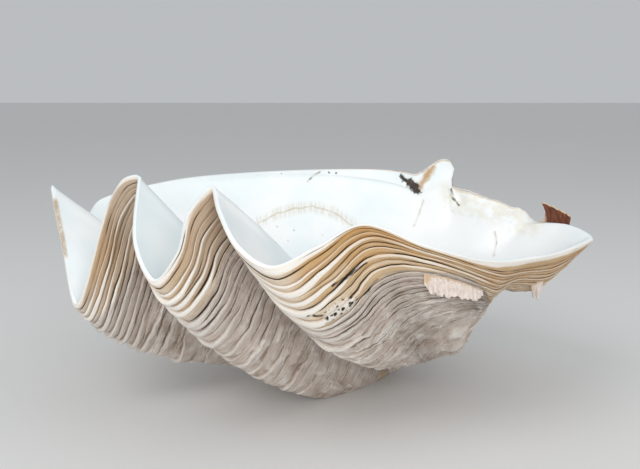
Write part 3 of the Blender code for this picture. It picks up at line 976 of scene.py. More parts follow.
    def build(self) -> bpy.types.Object:
        """Make the valve's mesh, with the measures that its finish reads.

        Returns:
            The valve's object.
        """
        turns = self.columns()
        count = len(turns)
        ledges = GrowthLedges(turns, self.form)
        rows = ledges.rows()
        times = np.clip(np.array(rows.times), 0.0, self.last_time)
        wide = np.broadcast_to(turns, times.shape)
        places = self.form.grown(wide, times)
        normals = self.form.outward(wide, places)
        outer = self.form.outside(wide, places) + normals * np.array(rows.lifts)[..., None]
        outer, relief = ledges.weathered(outer, normals, times)
        outer = self.hinge.shaped(self.form.worn(outer), Surface.OUTSIDE)[::-1]
        lip = self.lip(turns)
        bowl, bowl_places = self.bowl(turns)
        inside = self.hinge.shaped(np.concatenate((lip, bowl)), Surface.INSIDE)
        grid = np.concatenate((outer, inside))
        ends = [BEAK, (*self.form.bowl_floor[:2], bowl[-1, :, 2].mean())]
        spots = np.concatenate((grid.reshape(-1, 3), ends)) + np.array(ROW_SHIFT)
        faces = ring_faces(len(grid), count)
        beak, floor = len(spots) - 2, len(spots) - 1
        last = (len(grid) - 1) * count
        faces += [((index + 1) % count, index, beak) for index in range(count)]
        faces += [(last + index, last + (index + 1) % count, floor) for index in range(count)]
        mesh = bpy.data.meshes.new("valve")
        mesh.from_pydata(spots.tolist(), [], faces)
        measures = {name: np.array(values) for name, values in rows.measures.items()}
        measures["time"] = times
        measures["relief"] = relief
        tan_reach = self.form.through(self.form.around(TAN_REACH), wide)[..., 0]
        measures["age"] = (places + self.rim_age) / tan_reach
        for name, values in measures.items():
            spread = np.concatenate((values[::-1], np.zeros(inside.shape[:2])))
            give_measure(mesh, name, np.append(spread, (values[-1].mean(), 0.0)))
        way = np.concatenate((np.zeros(len(outer)), np.ones(len(lip)), 1 + bowl_places))
        give_measure(mesh, "way", np.append(np.repeat(way, count), (0.0, 2.0)))
        thing = bpy.data.objects.new("valve", mesh)
        bpy.context.scene.collection.objects.link(thing)
        tidy_faces(thing)
        return thing


def give_measure(mesh: bpy.types.Mesh, name: str, values: np.ndarray) -> None:
    """Keep a number for each point of a mesh, for its finish to read.

    Args:
        mesh: The mesh.
        name: What the number is called.
        values: One number for each point.
    """
    mesh.attributes.new(name, "FLOAT", "POINT").data.foreach_set("value", values.astype(np.float32))


SHEET_SHARP = 60.0
VALVE_SHARP = 38.0


def sheet_of(name: str, across: int, down: int) -> tuple[bpy.types.Object, np.ndarray, np.ndarray]:
    """A flat sheet of points to be laid out as a thin piece.

    Args:
        name: The piece's name.
        across: Squares along the piece.
        down: Squares from its foot to its edge.

    Returns:
        The object, and how far along and how far up each point lies, from 0 to 1.
    """
    bpy.ops.object.select_all(action="DESELECT")
    bpy.ops.mesh.primitive_grid_add(x_subdivisions=across, y_subdivisions=down, size=1.0, location=(0, 0, 0))
    thing = bpy.context.object
    thing.name = thing.data.name = name
    flat = np.zeros(3 * len(thing.data.vertices))
    thing.data.vertices.foreach_get("co", flat)
    flat = flat.reshape(-1, 3) + 0.5
    give_measure(thing.data, "along", flat[:, 0])
    give_measure(thing.data, "up", flat[:, 1])
    return thing, flat[:, 0], flat[:, 1]


def thickened(thing: bpy.types.Object, spots: np.ndarray, thickness: float) -> bpy.types.Object:
    """Lay a sheet's points out, give it its thickness and round it.

    Args:
        thing: The sheet.
        spots: Where its points go.
        thickness: Its thickness in metres.

    Returns:
        The same object, finished.
    """
    thing.data.vertices.foreach_set("co", spots.ravel())
    wall = thing.modifiers.new("wall", "SOLIDIFY")
    wall.thickness = thickness
    wall.offset = 0.0
    smooth = thing.modifiers.new("smooth", "SUBSURF")
    smooth.levels = 1
    for modifier in list(thing.modifiers):
        bpy.ops.object.modifier_apply(modifier=modifier.name)
    tidy_faces(thing, SHEET_SHARP)
    return thing


@dataclass
class Ligament:
    """The dried ligament, a folded strip that stands on the rim near the right tip."""

    form: ValveForm
    start: float = 0.36
    end: float = 0.98
    clearance: float = 0.0008
    tops: tuple[Pair, ...] = (
        (0.0, 0.0290),
        (0.2, 0.0265),
        (0.4, 0.0225),
        (0.6, 0.0185),
        (0.8, 0.0155),
        (1.0, 0.0130),
    )
    left_end: tuple[Pair, ...] = (
        (0.0, -0.012),
        (0.10, -0.006),
        (0.28, -0.001),
        (0.55, 0.001),
        (0.80, -0.003),
        (1.0, -0.008),
    )
    fold_depth: float = 0.0016
    folds: float = 3.4
    thickness: float = 0.0022

    def build(self) -> bpy.types.Object:
        """Make the strip.

        Returns:
            The strip's object.
        """
        thing, along, up = sheet_of("ligament_strip", 44, 16)
        turns = self.form.turn_of("step") + self.start + (self.end - self.start) * along
        foot = (self.form.outside(turns, np.zeros_like(turns)) + self.form.inner_edge(turns)) / 2
        ends = np.array([foot[along.argmin()], foot[along.argmax()]])
        way = (ends[1] - ends[0]) * (1.0, 1.0, 0.0)
        way /= np.linalg.norm(way)
        across = np.array((way[1], -way[0], 0.0))
        spots = foot + np.array(ROW_SHIFT)
        height = np.interp(along, *zip(*self.tops)) * (1.0 + 0.05 * np.sin(along * 23.0))
        spots[:, 2] += self.form.lip_crown + self.clearance + height * up
        shift = np.interp(up, *zip(*self.left_end)) * (1.0 - along) ** 2
        fold = np.sin(2 * math.pi * self.folds * along + 1.4 * np.sin(3.0 * up))
        ragged = ripple(spots, (220.0, 220.0, 90.0))
        side = self.fold_depth * (fold * (0.25 + 0.75 * up) + 0.7 * ragged)
        spots += way * shift[:, None] + across * side[:, None]
        return thickened(thing, spots, self.thickness)


@dataclass
class Frill:
    """The torn, fluted frill left under the last tan ledges on the front right."""

    form: ValveForm
    first: str = "flank_4"
    last: str = "valley_4"
    top: float = 0.001
    tucked: float = 0.0002
    depth: float = 0.050
    stand_out: float = 0.0070
    flutes: int = 11
    flute_depth: float = 0.0009
    thickness: float = 0.0020

    def build(self) -> bpy.types.Object:
        """Make the frill.

        Returns:
            The frill's object.
        """
        thing, along, up = sheet_of("torn_frill", 96, 14)
        down = 1.0 - up
        start, end = self.form.turn_of(self.first) + 0.05, self.form.turn_of(self.last) - 0.06
        turns = start + (end - start) * along
        young = self.form.through(self.form.young_line, turns)[:, 0]
        line = np.stack((along, 0.0 * along, 0.0 * along), axis=1)
        torn = ripple(line, 9.0)
        fine = ripple(line, 31.0, 3.0)
        reach = self.depth * (1.0 - 0.45 * along) * (0.88 + 0.24 * torn + 0.14 * fine)
        reach *= (0.35 + 0.65 * ease(along, 0.0, 0.14)) * (1.0 - 0.55 * ease(along, 0.84, 1.0))
        places = young + self.top + reach * down
        flute = np.sin(2 * math.pi * self.flutes * along + 2.0 * np.sin(7.0 * along))
        lift = self.tucked + self.stand_out * down**1.3 + self.flute_depth * flute * (0.3 + 0.7 * down)
        lift *= 1.0 - 0.55 * ease(along, 0.80, 1.0)
        spots = self.form.outside(turns, places) + self.form.outward(turns, places) * lift[:, None]
        return thickened(thing, spots + np.array(ROW_SHIFT), self.thickness)


@dataclass
class Stub:
    """The small broken spur that hangs under the right end."""

    root: Vector
    width: float = 0.017
    length: float = 0.026
    hollow: float = 0.0035
    thickness: float = 0.0026

    def build(self) -> bpy.types.Object:
        """Make the spur.

        Returns:
            The spur's object.
        """
        thing, along, up = sheet_of("broken_spur", 18, 12)
        down = 1.0 - up
        side = 2.0 * along - 1.0
        ragged = 0.80 + 0.20 * np.cos(9.0 * along + 0.6)
        spots = np.zeros((len(along), 3)) + np.array(self.root)
        spots[:, 0] += side * self.width / 2 * (1.0 - 0.55 * down) + 0.002 * down
        flute = 0.0010 * np.sin(along * 2 * math.pi * 3.0)
        spots[:, 1] += 0.004 - self.hollow * (1.0 - side**2) + flute * down + 0.004 * down
        spots[:, 2] += 0.003 - self.length * down * ragged
        return thickened(thing, spots, self.thickness)


def round_off(ring: np.ndarray, folds: float) -> np.ndarray:
    """Take the short waves out of a ring of points.

    Args:
        ring: The ring's points.
        folds: How many waves round the ring are about halved, with longer ones kept.

    Returns:
        The smoother ring.
    """
    waves = np.fft.rfft(ring, axis=0)
    order = np.arange(len(waves))[:, None]
    return np.fft.irfft(waves / (1.0 + (order / folds) ** 4), n=len(ring), axis=0)


def relaxed(grid: np.ndarray, rounds: int) -> np.ndarray:
    """Even out small bumps between neighbouring rings and columns, and keep the large shape.

    Args:
        grid: Rings of points, the first of which stays as it is.
        rounds: How often the points are evened out.

    Returns:
        The smoother rings.
    """
    smooth = grid.copy()
    for step in range(2 * rounds):
        share = 0.50 if step % 2 == 0 else -0.53
        pull = np.zeros_like(smooth)
        sides = np.roll(smooth, 1, axis=1) + np.roll(smooth, -1, axis=1)
        pull[1:-1] = (smooth[:-2] + smooth[2:] + sides[1:-1]) / 4 - smooth[1:-1]
        smooth += share * pull
    return smooth


def ring_faces(rings: int, count: int) -> list[tuple[int, int, int, int]]:
    """Faces joining closed rings of points.

    Args:
        rings: How many rings there are.
        count: How many points each ring has.

    Returns:
        Four point numbers for each face.
    """
    faces = []
    for first in range(0, (rings - 1) * count, count):
        above = first + count
        for index in range(count):
            following = (index + 1) % count
            faces.append((first + index, first + following, above + following, above + index))
    return faces


def tidy_faces(thing: bpy.types.Object, angle: float = VALVE_SHARP) -> None:
    """Turn a closed mesh's faces outwards and shade it smooth.

    Args:
        thing: The mesh's object.
        angle: Edges sharper than this many degrees stay sharp.
    """
    mesh = bmesh.new()
    mesh.from_mesh(thing.data)
    bmesh.ops.recalc_face_normals(mesh, faces=mesh.faces[:])
    mesh.to_mesh(thing.data)
    mesh.free()
    thing.data.shade_smooth()
    thing.data.set_sharp_from_angle(angle=math.radians(angle))


def paint(red: int, green: int, blue: int) -> Colour:
    """Turn a colour as seen into the light shares that a shader takes.

    Args:
        red: Its red, from 0 to 255.
        green: Its green.
        blue: Its blue.

    Returns:
        The shares, and full cover.
    """
    shares = [value / 255 for value in (red, green, blue)]
    linear = [share / 12.92 if share <= 0.04045 else ((share + 0.055) / 1.055) ** 2.4 for share in shares]
    return (*linear, 1.0)


class Wire:
    """A shader value that takes part in Python sums, each of which adds its Math node."""

    def __init__(self, sheet: "NodeSheet", socket: bpy.types.NodeSocket) -> None:
        """Wrap a socket of a material's sheet."""
        self.sheet = sheet
        self.socket = socket

    def math(self, operation: str, *values: "Wire | float") -> "Wire":
        """One Math node on these values."""
        return self.sheet.node("ShaderNodeMath", {"operation": operation}, dict(enumerate(values)))

    def __add__(self, other: "Wire | float") -> "Wire":
        """The sum of two values."""
        return self.math("ADD", self, other)

    def __radd__(self, other: float) -> "Wire":
        """The sum, with the number first."""
        return self.math("ADD", other, self)

    def __sub__(self, other: "Wire | float") -> "Wire":
        """The difference of two values."""
        return self.math("SUBTRACT", self, other)

    def __rsub__(self, other: float) -> "Wire":
        """The difference, with the number first."""
        return self.math("SUBTRACT", other, self)

    def __mul__(self, other: "Wire | float") -> "Wire":
        """The product of two values."""
        return self.math("MULTIPLY", self, other)

    def __rmul__(self, other: float) -> "Wire":
        """The product, with the number first."""
        return self.math("MULTIPLY", other, self)

    def __truediv__(self, other: "Wire | float") -> "Wire":
        """The quotient of two values."""
        return self.math("DIVIDE", self, other)

    def least(self, other: "Wire | float") -> "Wire":
        """The smaller of two values."""
        return self.math("MINIMUM", self, other)

    def most(self, other: "Wire | float") -> "Wire":
        """The larger of two values."""
        return self.math("MAXIMUM", self, other)

    def rise(self, low: float, high: float) -> "Wire":
        """0 up to low, 1 from high on, and a smooth rise between."""
        settings = {"interpolation_type": "SMOOTHSTEP"}
        inputs = {"Value": self, "From Min": low, "From Max": high}
        return self.sheet.node("ShaderNodeMapRange", settings, inputs)

    def fall(self, low: float, high: float) -> "Wire":
        """1 up to low, 0 from high on, and a smooth fall between."""
        return 1.0 - self.rise(low, high)


class NodeSheet:
    """The node tree of one material."""

    def __init__(self, name: str) -> None:
        """Start a material with one Principled shader."""
        self.material = bpy.data.materials.new(name)
        self.material.use_nodes = True
        self.tree = self.material.node_tree
        self.shader = self.tree.nodes["Principled BSDF"]
        self.spot = self.node("ShaderNodeTexCoord", output="Object")
        self.colour: Wire | None = None

    def node(
        self, kind: str, settings: dict | None = None, inputs: dict | None = None, output: int | str = 0
    ) -> Wire:
        """Add a node of any kind.

        Args:
            kind: The node's type.
            settings: Its options, set before its sockets.
            inputs: Values or wires, by the socket's name or number.
            output: The socket that the wire starts from.

        Returns:
            The wire from that socket.
        """
        node = self.tree.nodes.new(kind)
        for name, value in (settings or {}).items():
            setattr(node, name, value)
        for name, value in (inputs or {}).items():
            self.feed(node.inputs[name], value)
        return Wire(self, node.outputs[output])

    def feed(self, socket: bpy.types.NodeSocket, value: "Wire | float | tuple") -> None:
        """Give a socket a value or a wire."""
        if isinstance(value, Wire):
            self.tree.links.new(value.socket, socket)
        else:
            socket.default_value = value

    def measure(self, name: str) -> Wire:
        """A number that the mesh carries at its points."""
        return self.node("ShaderNodeAttribute", {"attribute_name": name}, output="Fac")

    def blend(self, first: "Wire | tuple", second: "Wire | tuple", share: "Wire | float") -> Wire:
        """Mix two colours.

        Args:
            first: The colour at share 0.
            second: The colour at share 1.
            share: How much of the second.

        Returns:
            The mixed colour.
        """
        return self.node("ShaderNodeMix", {"data_type": "RGBA"}, {0: share, 6: first, 7: second}, output=2)

    def noise(
        self, size: float, detail: float = 3.0, where: Wire | None = None, rough: float = 0.55
    ) -> Wire:
        """Soft noise between 0 and 1.

        Args:
            size: The width of its bumps in metres, or in the units of the place given.
            detail: How many finer layers it has.
            where: The place to read it at, the object's own coordinates if none is given.
            rough: How strong the finer layers are.

        Returns:
            The noise.
        """
        inputs = {"Vector": where or self.spot, "Scale": 1.0 / size, "Detail": detail, "Roughness": rough}
        return self.node("ShaderNodeTexNoise", None, inputs, output="Fac")

    def stretched(self, wide: float, fine: Wire) -> Wire:
        """A place for noise that runs along the growth lines.

        Args:
            wide: Length of the streaks in metres.
            fine: The value that tells the lines apart, one unit for one line.

        Returns:
            The place, in streaks.
        """
        split = self.node("ShaderNodeSeparateXYZ", None, {0: self.spot})
        x, y, z = (Wire(self, socket) for socket in split.socket.node.outputs)
        inputs = {"X": (x + z * 0.7) / wide, "Y": (y - z * 0.7) / wide, "Z": fine}
        return self.node("ShaderNodeCombineXYZ", None, inputs)

    def vector(
        self, operation: str, *values: "Wire | tuple", output: int | str = 0, **inputs: "Wire | float"
    ) -> Wire:
        """Add one Vector Math node.

        Args:
            operation: What it does.
            values: Its first sockets' values, in their order.
            output: The socket that the wire starts from.
            inputs: Other sockets' values, by name.

        Returns:
            The wire from that socket.
        """
        sockets = {**dict(enumerate(values)), **inputs}
        return self.node("ShaderNodeVectorMath", {"operation": operation}, sockets, output)

    def cells(self, where: Wire, scale: float) -> Wire:
        """The distance from the middle of the nearest of many cells, this many to the metre."""
        return self.node("ShaderNodeTexVoronoi", None, {"Vector": where, "Scale": scale}, "Distance")

    def shaken(self, size: float, amount: float) -> Wire:
        """The object's own coordinates, shifted about so that lines drawn in them wander.

        Args:
            size: How wide the wandering is, in metres.
            amount: How far it goes, in metres.

        Returns:
            The shifted coordinates.
        """
        inputs = {"Vector": self.spot, "Scale": 1.0 / size, "Detail": 3.0}
        cloud = self.node("ShaderNodeTexNoise", None, inputs, output="Color")
        centred = self.vector("SUBTRACT", cloud, (0.5, 0.5, 0.5))
        return self.vector("ADD", self.spot, self.vector("SCALE", centred, Scale=amount * 2.0))

    def distance(self, spots: list[Vector], where: Wire | None = None) -> Wire:
        """How far the surface is from a line through some places, in metres.

        Args:
            spots: The line's places, or a single one.
            where: The place to measure from, the object's own coordinates if none is given.

        Returns:
            The distance.
        """
        nearest = None
        for start, end in zip(spots, spots[1:] or spots):
            away = self.vector("SUBTRACT", where or self.spot, tuple(start))
            way = end - start
            if way.length > 0.0:
                along = self.vector("DOT_PRODUCT", away, tuple(way / way.length_squared), output="Value")
                ride = self.vector("SCALE", tuple(way), Scale=along.most(0.0).least(1.0))
                away = self.vector("SUBTRACT", away, ride)
            gap = self.vector("LENGTH", away, output="Value")
            nearest = gap if nearest is None else nearest.least(gap)
        return nearest

    def bump(self, height: Wire, depth: float, strength: float) -> Wire:
        """A bumpy surface.

        Args:
            height: The height, from 0 to 1.
            depth: What a height of 1 stands for, in metres.
            strength: How much of it shows.

        Returns:
            The surface's direction, for the Normal socket.
        """
        return self.node("ShaderNodeBump", None, {"Height": height, "Distance": depth, "Strength": strength})

    def cover(self, colour: "Wire | Colour", share: "Wire | float") -> None:
        """Lay a colour over the one so far, where the share is more than 0."""
        self.colour = self.blend(self.colour, colour, share)

    def finish(self, roughness: Wire | float, normal: Wire, **constants: float) -> bpy.types.Material:
        """Feed the shader with the colour so far, and with the rest of the finish.

        Args:
            roughness: The roughness.
            normal: The surface's direction.
            constants: Other sockets' values, by their names with _ for a space.

        Returns:
            The finished material.
        """
        self.feed(self.shader.inputs["Base Color"], self.colour)
        self.feed(self.shader.inputs["Roughness"], roughness)
        self.feed(self.shader.inputs["Normal"], normal)
        for name, value in constants.items():
            self.shader.inputs[name.replace("_", " ")].default_value = value
        return self.material


@dataclass(frozen=True)
class PhotoView:
    """Where the camera stands, and how a pixel of the 640 by 469 picture is found on the shell."""

    place: Triple = (0.0, -1.09537, 0.4176)
    tilt: float = 79.815
    lens: float = 48.375
    sensor: float = 36.0
    width: int = 640
    height: int = 469

    def on_shell(self, pixel: Pair, skin: BVHTree) -> Vector:
        """Find the place on the shell that a pixel shows.

        Args:
            pixel: Its column and row in the picture.
            skin: The shell's surface.

        Returns:
            The place.

        Raises:
            ValueError: The pixel shows no part of the shell.
        """
        focus = self.width * self.lens / self.sensor
        ray = Vector(((pixel[0] - self.width / 2) / focus, (self.height / 2 - pixel[1]) / focus, -1.0))
        ray.rotate(Matrix.Rotation(math.radians(self.tilt), 3, "X"))
        hit = skin.ray_cast(Vector(self.place), ray)[0]
        if hit is None:
            raise ValueError(f"nothing lies under pixel {pixel}")
        return hit


@dataclass(frozen=True)
class LedgeFinish:
    """The outside: white ledge edges, tan bands near the margin, chalky pinkish grey on the older shell, and
    painted shade in the gaps, cracks, pits and bored holes.
    """

    edge: Colour = paint(246, 241, 233)
    cream: Colour = paint(238, 221, 198)
    beige: Colour = paint(206, 187, 166)
    tan: Colour = paint(216, 186, 144)
    ochre: Colour = paint(205, 158, 96)
    brown: Colour = paint(128, 98, 70)
    chalk: Colour = paint(223, 209, 198)
    pale: Colour = paint(245, 238, 230)
    mauve: Colour = paint(185, 164, 148)
    # gap: dark brown laid on only as painted shade, in the ledge gaps, the cracks, the pits and the bored
    # holes.
    gap: Colour = paint(52, 36, 26)
    streak_length: float = 0.060
    fine_length: float = 0.022
    layer_length: float = 0.055
    streak_lines: float = 230.0
    fine_lines: float = 620.0
    layer_lines: float = 420.0
    pits_to_metre: float = 120.0
    holes_to_metre: float = 150.0
    bump_depth: float = 0.0017
    bump_strength: float = 0.9

    def material(self, marks: "OutsideMarks") -> bpy.types.Material:
        """Make the outside's material.

        Args:
            marks: Where each mark lies on the shell.

        Returns:
            The material.
        """
        sheet = NodeSheet("growth_ledges")
        phase = sheet.measure("phase")
        crack = sheet.measure("crack")
        tone = sheet.measure("tone")
        time = sheet.measure("time")
        age = sheet.measure("age")
        white = sheet.measure("white")
        pale = sheet.measure("pale")
        warm = sheet.measure("warm")
        relief = sheet.measure("relief")
        streaks = sheet.noise(1.0, 4.0, sheet.stretched(self.streak_length, time * self.streak_lines), 0.65)
        fine_streaks = sheet.noise(1.0, 3.0, sheet.stretched(self.fine_length, time * self.fine_lines), 0.6)
        layers = sheet.noise(1.0, 4.0, sheet.stretched(self.layer_length, time * self.layer_lines), 0.7)
        clouds = sheet.noise(0.050, 5.0)
        lumps = sheet.noise(0.012, 5.0, None, 0.65)
        grain = sheet.noise(0.0030, 4.0, None, 0.7)
        wander = sheet.shaken(0.014, 0.0030)
        young = (age + (clouds - 0.5) * 0.35 + (streaks - 0.5) * 0.25).fall(0.88, 1.12)
        body = sheet.blend(self.beige, self.tan, warm.rise(0.15, 0.80))
        tan = sheet.blend(self.cream, body, (tone * 0.7 + streaks * 0.8 - 0.2).rise(0.22, 0.72))
        ochre = (streaks * 0.7 + clouds * 0.5 + (1.0 - age) * 0.35).rise(0.66, 1.00)
        tan = sheet.blend(tan, self.ochre, ochre * warm * (1.0 - pale * 0.6))
        # Fine brown growth lines, darker towards each sill under the next ledge: that darkening by phase is
        # painted shade.
        lined = (fine_streaks * 0.8 + phase * 0.22).rise(0.50, 0.78) * (0.62 - pale * 0.40)
        tan = sheet.blend(tan, self.brown, lined)
        tan = sheet.blend(tan, self.edge, pale.rise(0.55, 1.1) * 0.50)
        # The worn relief is painted: raised places paler as painted highlight, hollows and sills darker
        # mauve as painted shade, mixed with random tone from streaks, lumps and clouds.
        high = (streaks * 0.4 + lumps * 0.5 + relief * 0.35).rise(0.42, 0.80)
        old = sheet.blend(self.chalk, self.pale, high)
        low = (fine_streaks * 0.6 + phase * 0.18 + clouds * 0.3 - relief * 0.25).rise(0.50, 0.92)
        old = sheet.blend(old, self.mauve, low * 0.9)
        grainy_layers = layers + (grain - 0.5) * 0.12
        old = sheet.blend(old, self.brown, grainy_layers.fall(0.36, 0.44) * (0.88 - pale * 0.50))
        old = sheet.blend(old, self.pale, grainy_layers.rise(0.56, 0.66) * 0.65)
        body = sheet.blend(old, tan, young)
        rim = (white + (fine_streaks - 0.5) * 0.5 * white).rise(0.12, 0.55)
        sheet.colour = sheet.blend(body, self.edge, rim * (0.60 + young * 0.35).most(white * 0.85))
        # Painted shade on the sill under each ledge's overhang, stronger where the gap is open and in the
        # young tan bands.
        shade = 0.15 + crack * 0.3 + young * 0.35 * (1.0 - pale * 0.6)
        shade = (phase + (streaks - 0.5) * 0.5).rise(0.80, 1.15) * shade
        sheet.cover(self.gap, shade * 0.5)
        # Painted shade in the open gap over each ledge.
        dark = (crack + (streaks - 0.5) * 0.6 * crack).rise(0.16, 0.52)
        sheet.cover(self.gap, dark * 0.95)
        worn = 1.0 - young
        # Painted shade in the small pits of the worn shell, which the bump also sinks.
        pits = sheet.cells(sheet.spot, self.pits_to_metre)
        pit = pits.fall(0.10, 0.20) * (clouds * 0.5 + lumps * 0.5).rise(0.52, 0.60) * worn
        sheet.cover(self.gap, pit * 0.35)
        # Each crack is a dark line of painted shade, broken where the streaks are low.
        for line, wide in marks.cracks:
            split = sheet.distance(line, wander) + (grain - 0.5) * 0.002
            crack_shade = split.fall(wide * 0.35, wide) * streaks.rise(0.34, 0.48)
            sheet.cover(self.gap, crack_shade * 0.95)
        bored = sheet.distance(marks.boring)
        patch = (bored + (grain - 0.5) * 0.02).fall(0.006, 0.011)
        holes = sheet.cells(wander, self.holes_to_metre)
        sheet.cover(self.edge, patch * 0.8)
        # The bored holes get painted shade inside them, on the paler patch.
        hole = (holes + (grain - 0.5) * 0.25).fall(0.30, 0.42) * patch * lumps.rise(0.36, 0.46)
        sheet.cover(self.gap, hole)
        stained = (sheet.distance(marks.stain) + (clouds - 0.5) * 0.02).fall(0.010, 0.022)
        sheet.cover(self.tan, stained * 0.7)
        height = layers * worn * 1.6 + fine_streaks * (0.55 + worn * 0.9)
        height = height + grain * (0.30 + worn * 0.4) + streaks * 0.35
        height = height + lumps * worn * 1.8 - hole * 1.5 - pit * 0.8
        normal = sheet.bump(height, self.bump_depth, self.bump_strength)
        return sheet.finish(0.72 + grain * 0.18, normal, Specular_IOR_Level=0.35)


@dataclass(frozen=True)
class PorcelainFinish:
    """The inside and the rim: smooth bluish white, with a few stains, cracks and the muscle's mark; painted
    shade darkens the cracks, the notch and the pocket.
    """

    white: Colour = paint(251, 252, 251)
    blue: Colour = paint(238, 246, 247)
    cream: Colour = paint(240, 235, 220)
    stain: Colour = paint(206, 192, 164)
    ochre: Colour = paint(190, 142, 66)
    # dark: laid on the specks and the chips, and as painted shade in the cracks, the notch and the pocket.
    dark: Colour = paint(36, 22, 15)
    brown: Colour = paint(168, 134, 98)
    ticks_to_metre: Triple = (480.0, 40.0, 25.0)
    specks_to_metre: float = 95.0
    bump_depth: float = 0.0006
    bump_strength: float = 0.6

    def material(self, marks: "InsideMarks") -> bpy.types.Material:
        """Make the inside's material.

        Args:
            marks: Where each mark lies on the shell.

        Returns:
            The material.
        """
        sheet = NodeSheet("porcelain")
        clouds = sheet.noise(0.110, 3.0)
        fine = sheet.noise(0.012, 4.0)
        grain = sheet.noise(0.0020, 3.0)
        wander = sheet.shaken(0.016, 0.0040)
        sheet.colour = sheet.blend(self.white, self.blue, clouds.rise(0.35, 0.68))
        plate = sheet.distance(marks.plate)
        lumpy = sheet.noise(0.016, 5.0, wander, 0.6)
        sheet.cover(self.cream, plate.fall(0.010, 0.034) * lumpy.rise(0.35, 0.62) * 0.8)
        arc = sheet.distance(marks.scar, wander)
        soft = (clouds * 0.5 + fine * 0.5).rise(0.38, 0.56)
        sheet.cover(self.stain, arc.fall(0.0004, 0.0026) * (0.45 + soft * 0.35))
        sheet.cover(self.stain, arc.fall(0.003, 0.014) * soft * 0.14)
        ticks = sheet.noise(1.0, 2.0, sheet.vector("MULTIPLY", wander, self.ticks_to_metre))
        sheet.cover(self.stain, arc.fall(0.005, 0.013) * ticks.rise(0.46, 0.58) * 0.34)
        specks = sheet.cells(wander, self.specks_to_metre).fall(0.10, 0.22)
        speckled = sheet.distance(marks.specks).fall(0.024, 0.036)
        sheet.cover(self.dark, specks * speckled * lumpy.rise(0.46, 0.58) * 0.45)
        # Each crack and the notch: a faint real stain along it, and a dark core of painted shade.
        for line, wide, depth in marks.cracks:
            gap = sheet.distance(line, wander) + (grain - 0.5) * 0.0010
            broken = fine.rise(0.30, 0.50)
            sheet.cover(self.stain, gap.fall(0.0008, 0.0036) * 0.35)
            sheet.cover(self.dark, gap.fall(wide * 0.3, wide) * broken * depth)
        ochre = sheet.distance(marks.ochre, wander) + (fine - 0.5) * 0.010
        sheet.cover(self.ochre, ochre.fall(0.0005, 0.0085) * 0.85)
        # The pocket beside the tooth is filled with painted shade, broken by flecks of ochre.
        pocket = sheet.distance(marks.pocket, sheet.shaken(0.009, 0.0070)) + (lumpy - 0.5) * 0.008
        mouth = sheet.distance(marks.pocket[-2:], sheet.shaken(0.006, 0.0060)) + (fine - 0.5) * 0.008
        pocket = pocket.least(mouth - 0.0030)
        inner = sheet.blend(self.dark, self.ochre, (lumpy * 0.5 + grain * 0.5).rise(0.52, 0.66) * 0.55)
        sheet.cover(inner, pocket.fall(0.0018, 0.0056) * 0.97)
        lip = sheet.measure("way").fall(1.0, 1.02)
        edge = sheet.distance(marks.left_edge) + (fine - 0.5) * 0.006
        sheet.cover(self.cream, edge.fall(0.006, 0.016) * lip * 0.9)
        stained = (fine * 0.4 + grain * 0.6).rise(0.30, 0.60)
        sheet.cover(self.brown, edge.fall(0.005, 0.013) * lip * stained * 0.75)
        for chip in marks.chips:
            away = sheet.distance([chip], wander) + (fine - 0.5) * 0.006
            sheet.cover(self.dark, away.fall(0.0008, 0.0026) * 0.85)
        relief = fine * 0.5 + grain * 0.25 + clouds
        relief = relief + lumpy * plate.fall(0.012, 0.034) * 2.5 - pocket.fall(0.003, 0.008) * 3.0
        normal = sheet.bump(relief, self.bump_depth, self.bump_strength)
        roughness = 0.30 + fine * 0.18 + pocket.fall(0.004, 0.009) * 0.4
        return sheet.finish(roughness, normal, Coat_Weight=0.15, Coat_Roughness=0.25)


@dataclass(frozen=True)
class FrillFinish:
    """The torn pieces: chalky white with a pinkish foot and fine streaks up and down."""

    edge: Colour = paint(234, 221, 212)
    chalk: Colour = paint(208, 189, 178)
    tan: Colour = paint(205, 172, 132)
    # gap: painted shade in the fine grooves running up and down the torn pieces.
    gap: Colour = paint(120, 92, 74)

    def material(self) -> bpy.types.Material:
        """Make the torn pieces' material.

        Returns:
            The material.
        """
        sheet = NodeSheet("torn_shell")
        up = sheet.measure("up")
        along = sheet.measure("along")
        place = sheet.node("ShaderNodeCombineXYZ", None, {"X": along * 22.0, "Y": up * 3.5})
        streaks = sheet.noise(1.0, 4.0, place, 0.6)
        grain = sheet.noise(0.0030, 4.0, None, 0.7)
        sheet.colour = sheet.blend(self.edge, self.chalk, (streaks * 0.8 + grain * 0.3).rise(0.45, 0.75))
        corner = (along - (up - 0.5) * 0.16 + (grain - 0.5) * 0.05).fall(0.03, 0.10)
        foot = (up + (streaks - 0.5) * 0.5).rise(0.78, 1.0)
        sheet.cover(self.tan, foot.most(corner) * 0.8)
        # Dark streak lines of painted shade in the fine grooves.
        sheet.cover(self.gap, (streaks + (grain - 0.5) * 0.3).fall(0.28, 0.40) * 0.45)
        normal = sheet.bump(streaks + grain * 0.4, 0.0008, 0.7)
        return sheet.finish(0.75, normal)


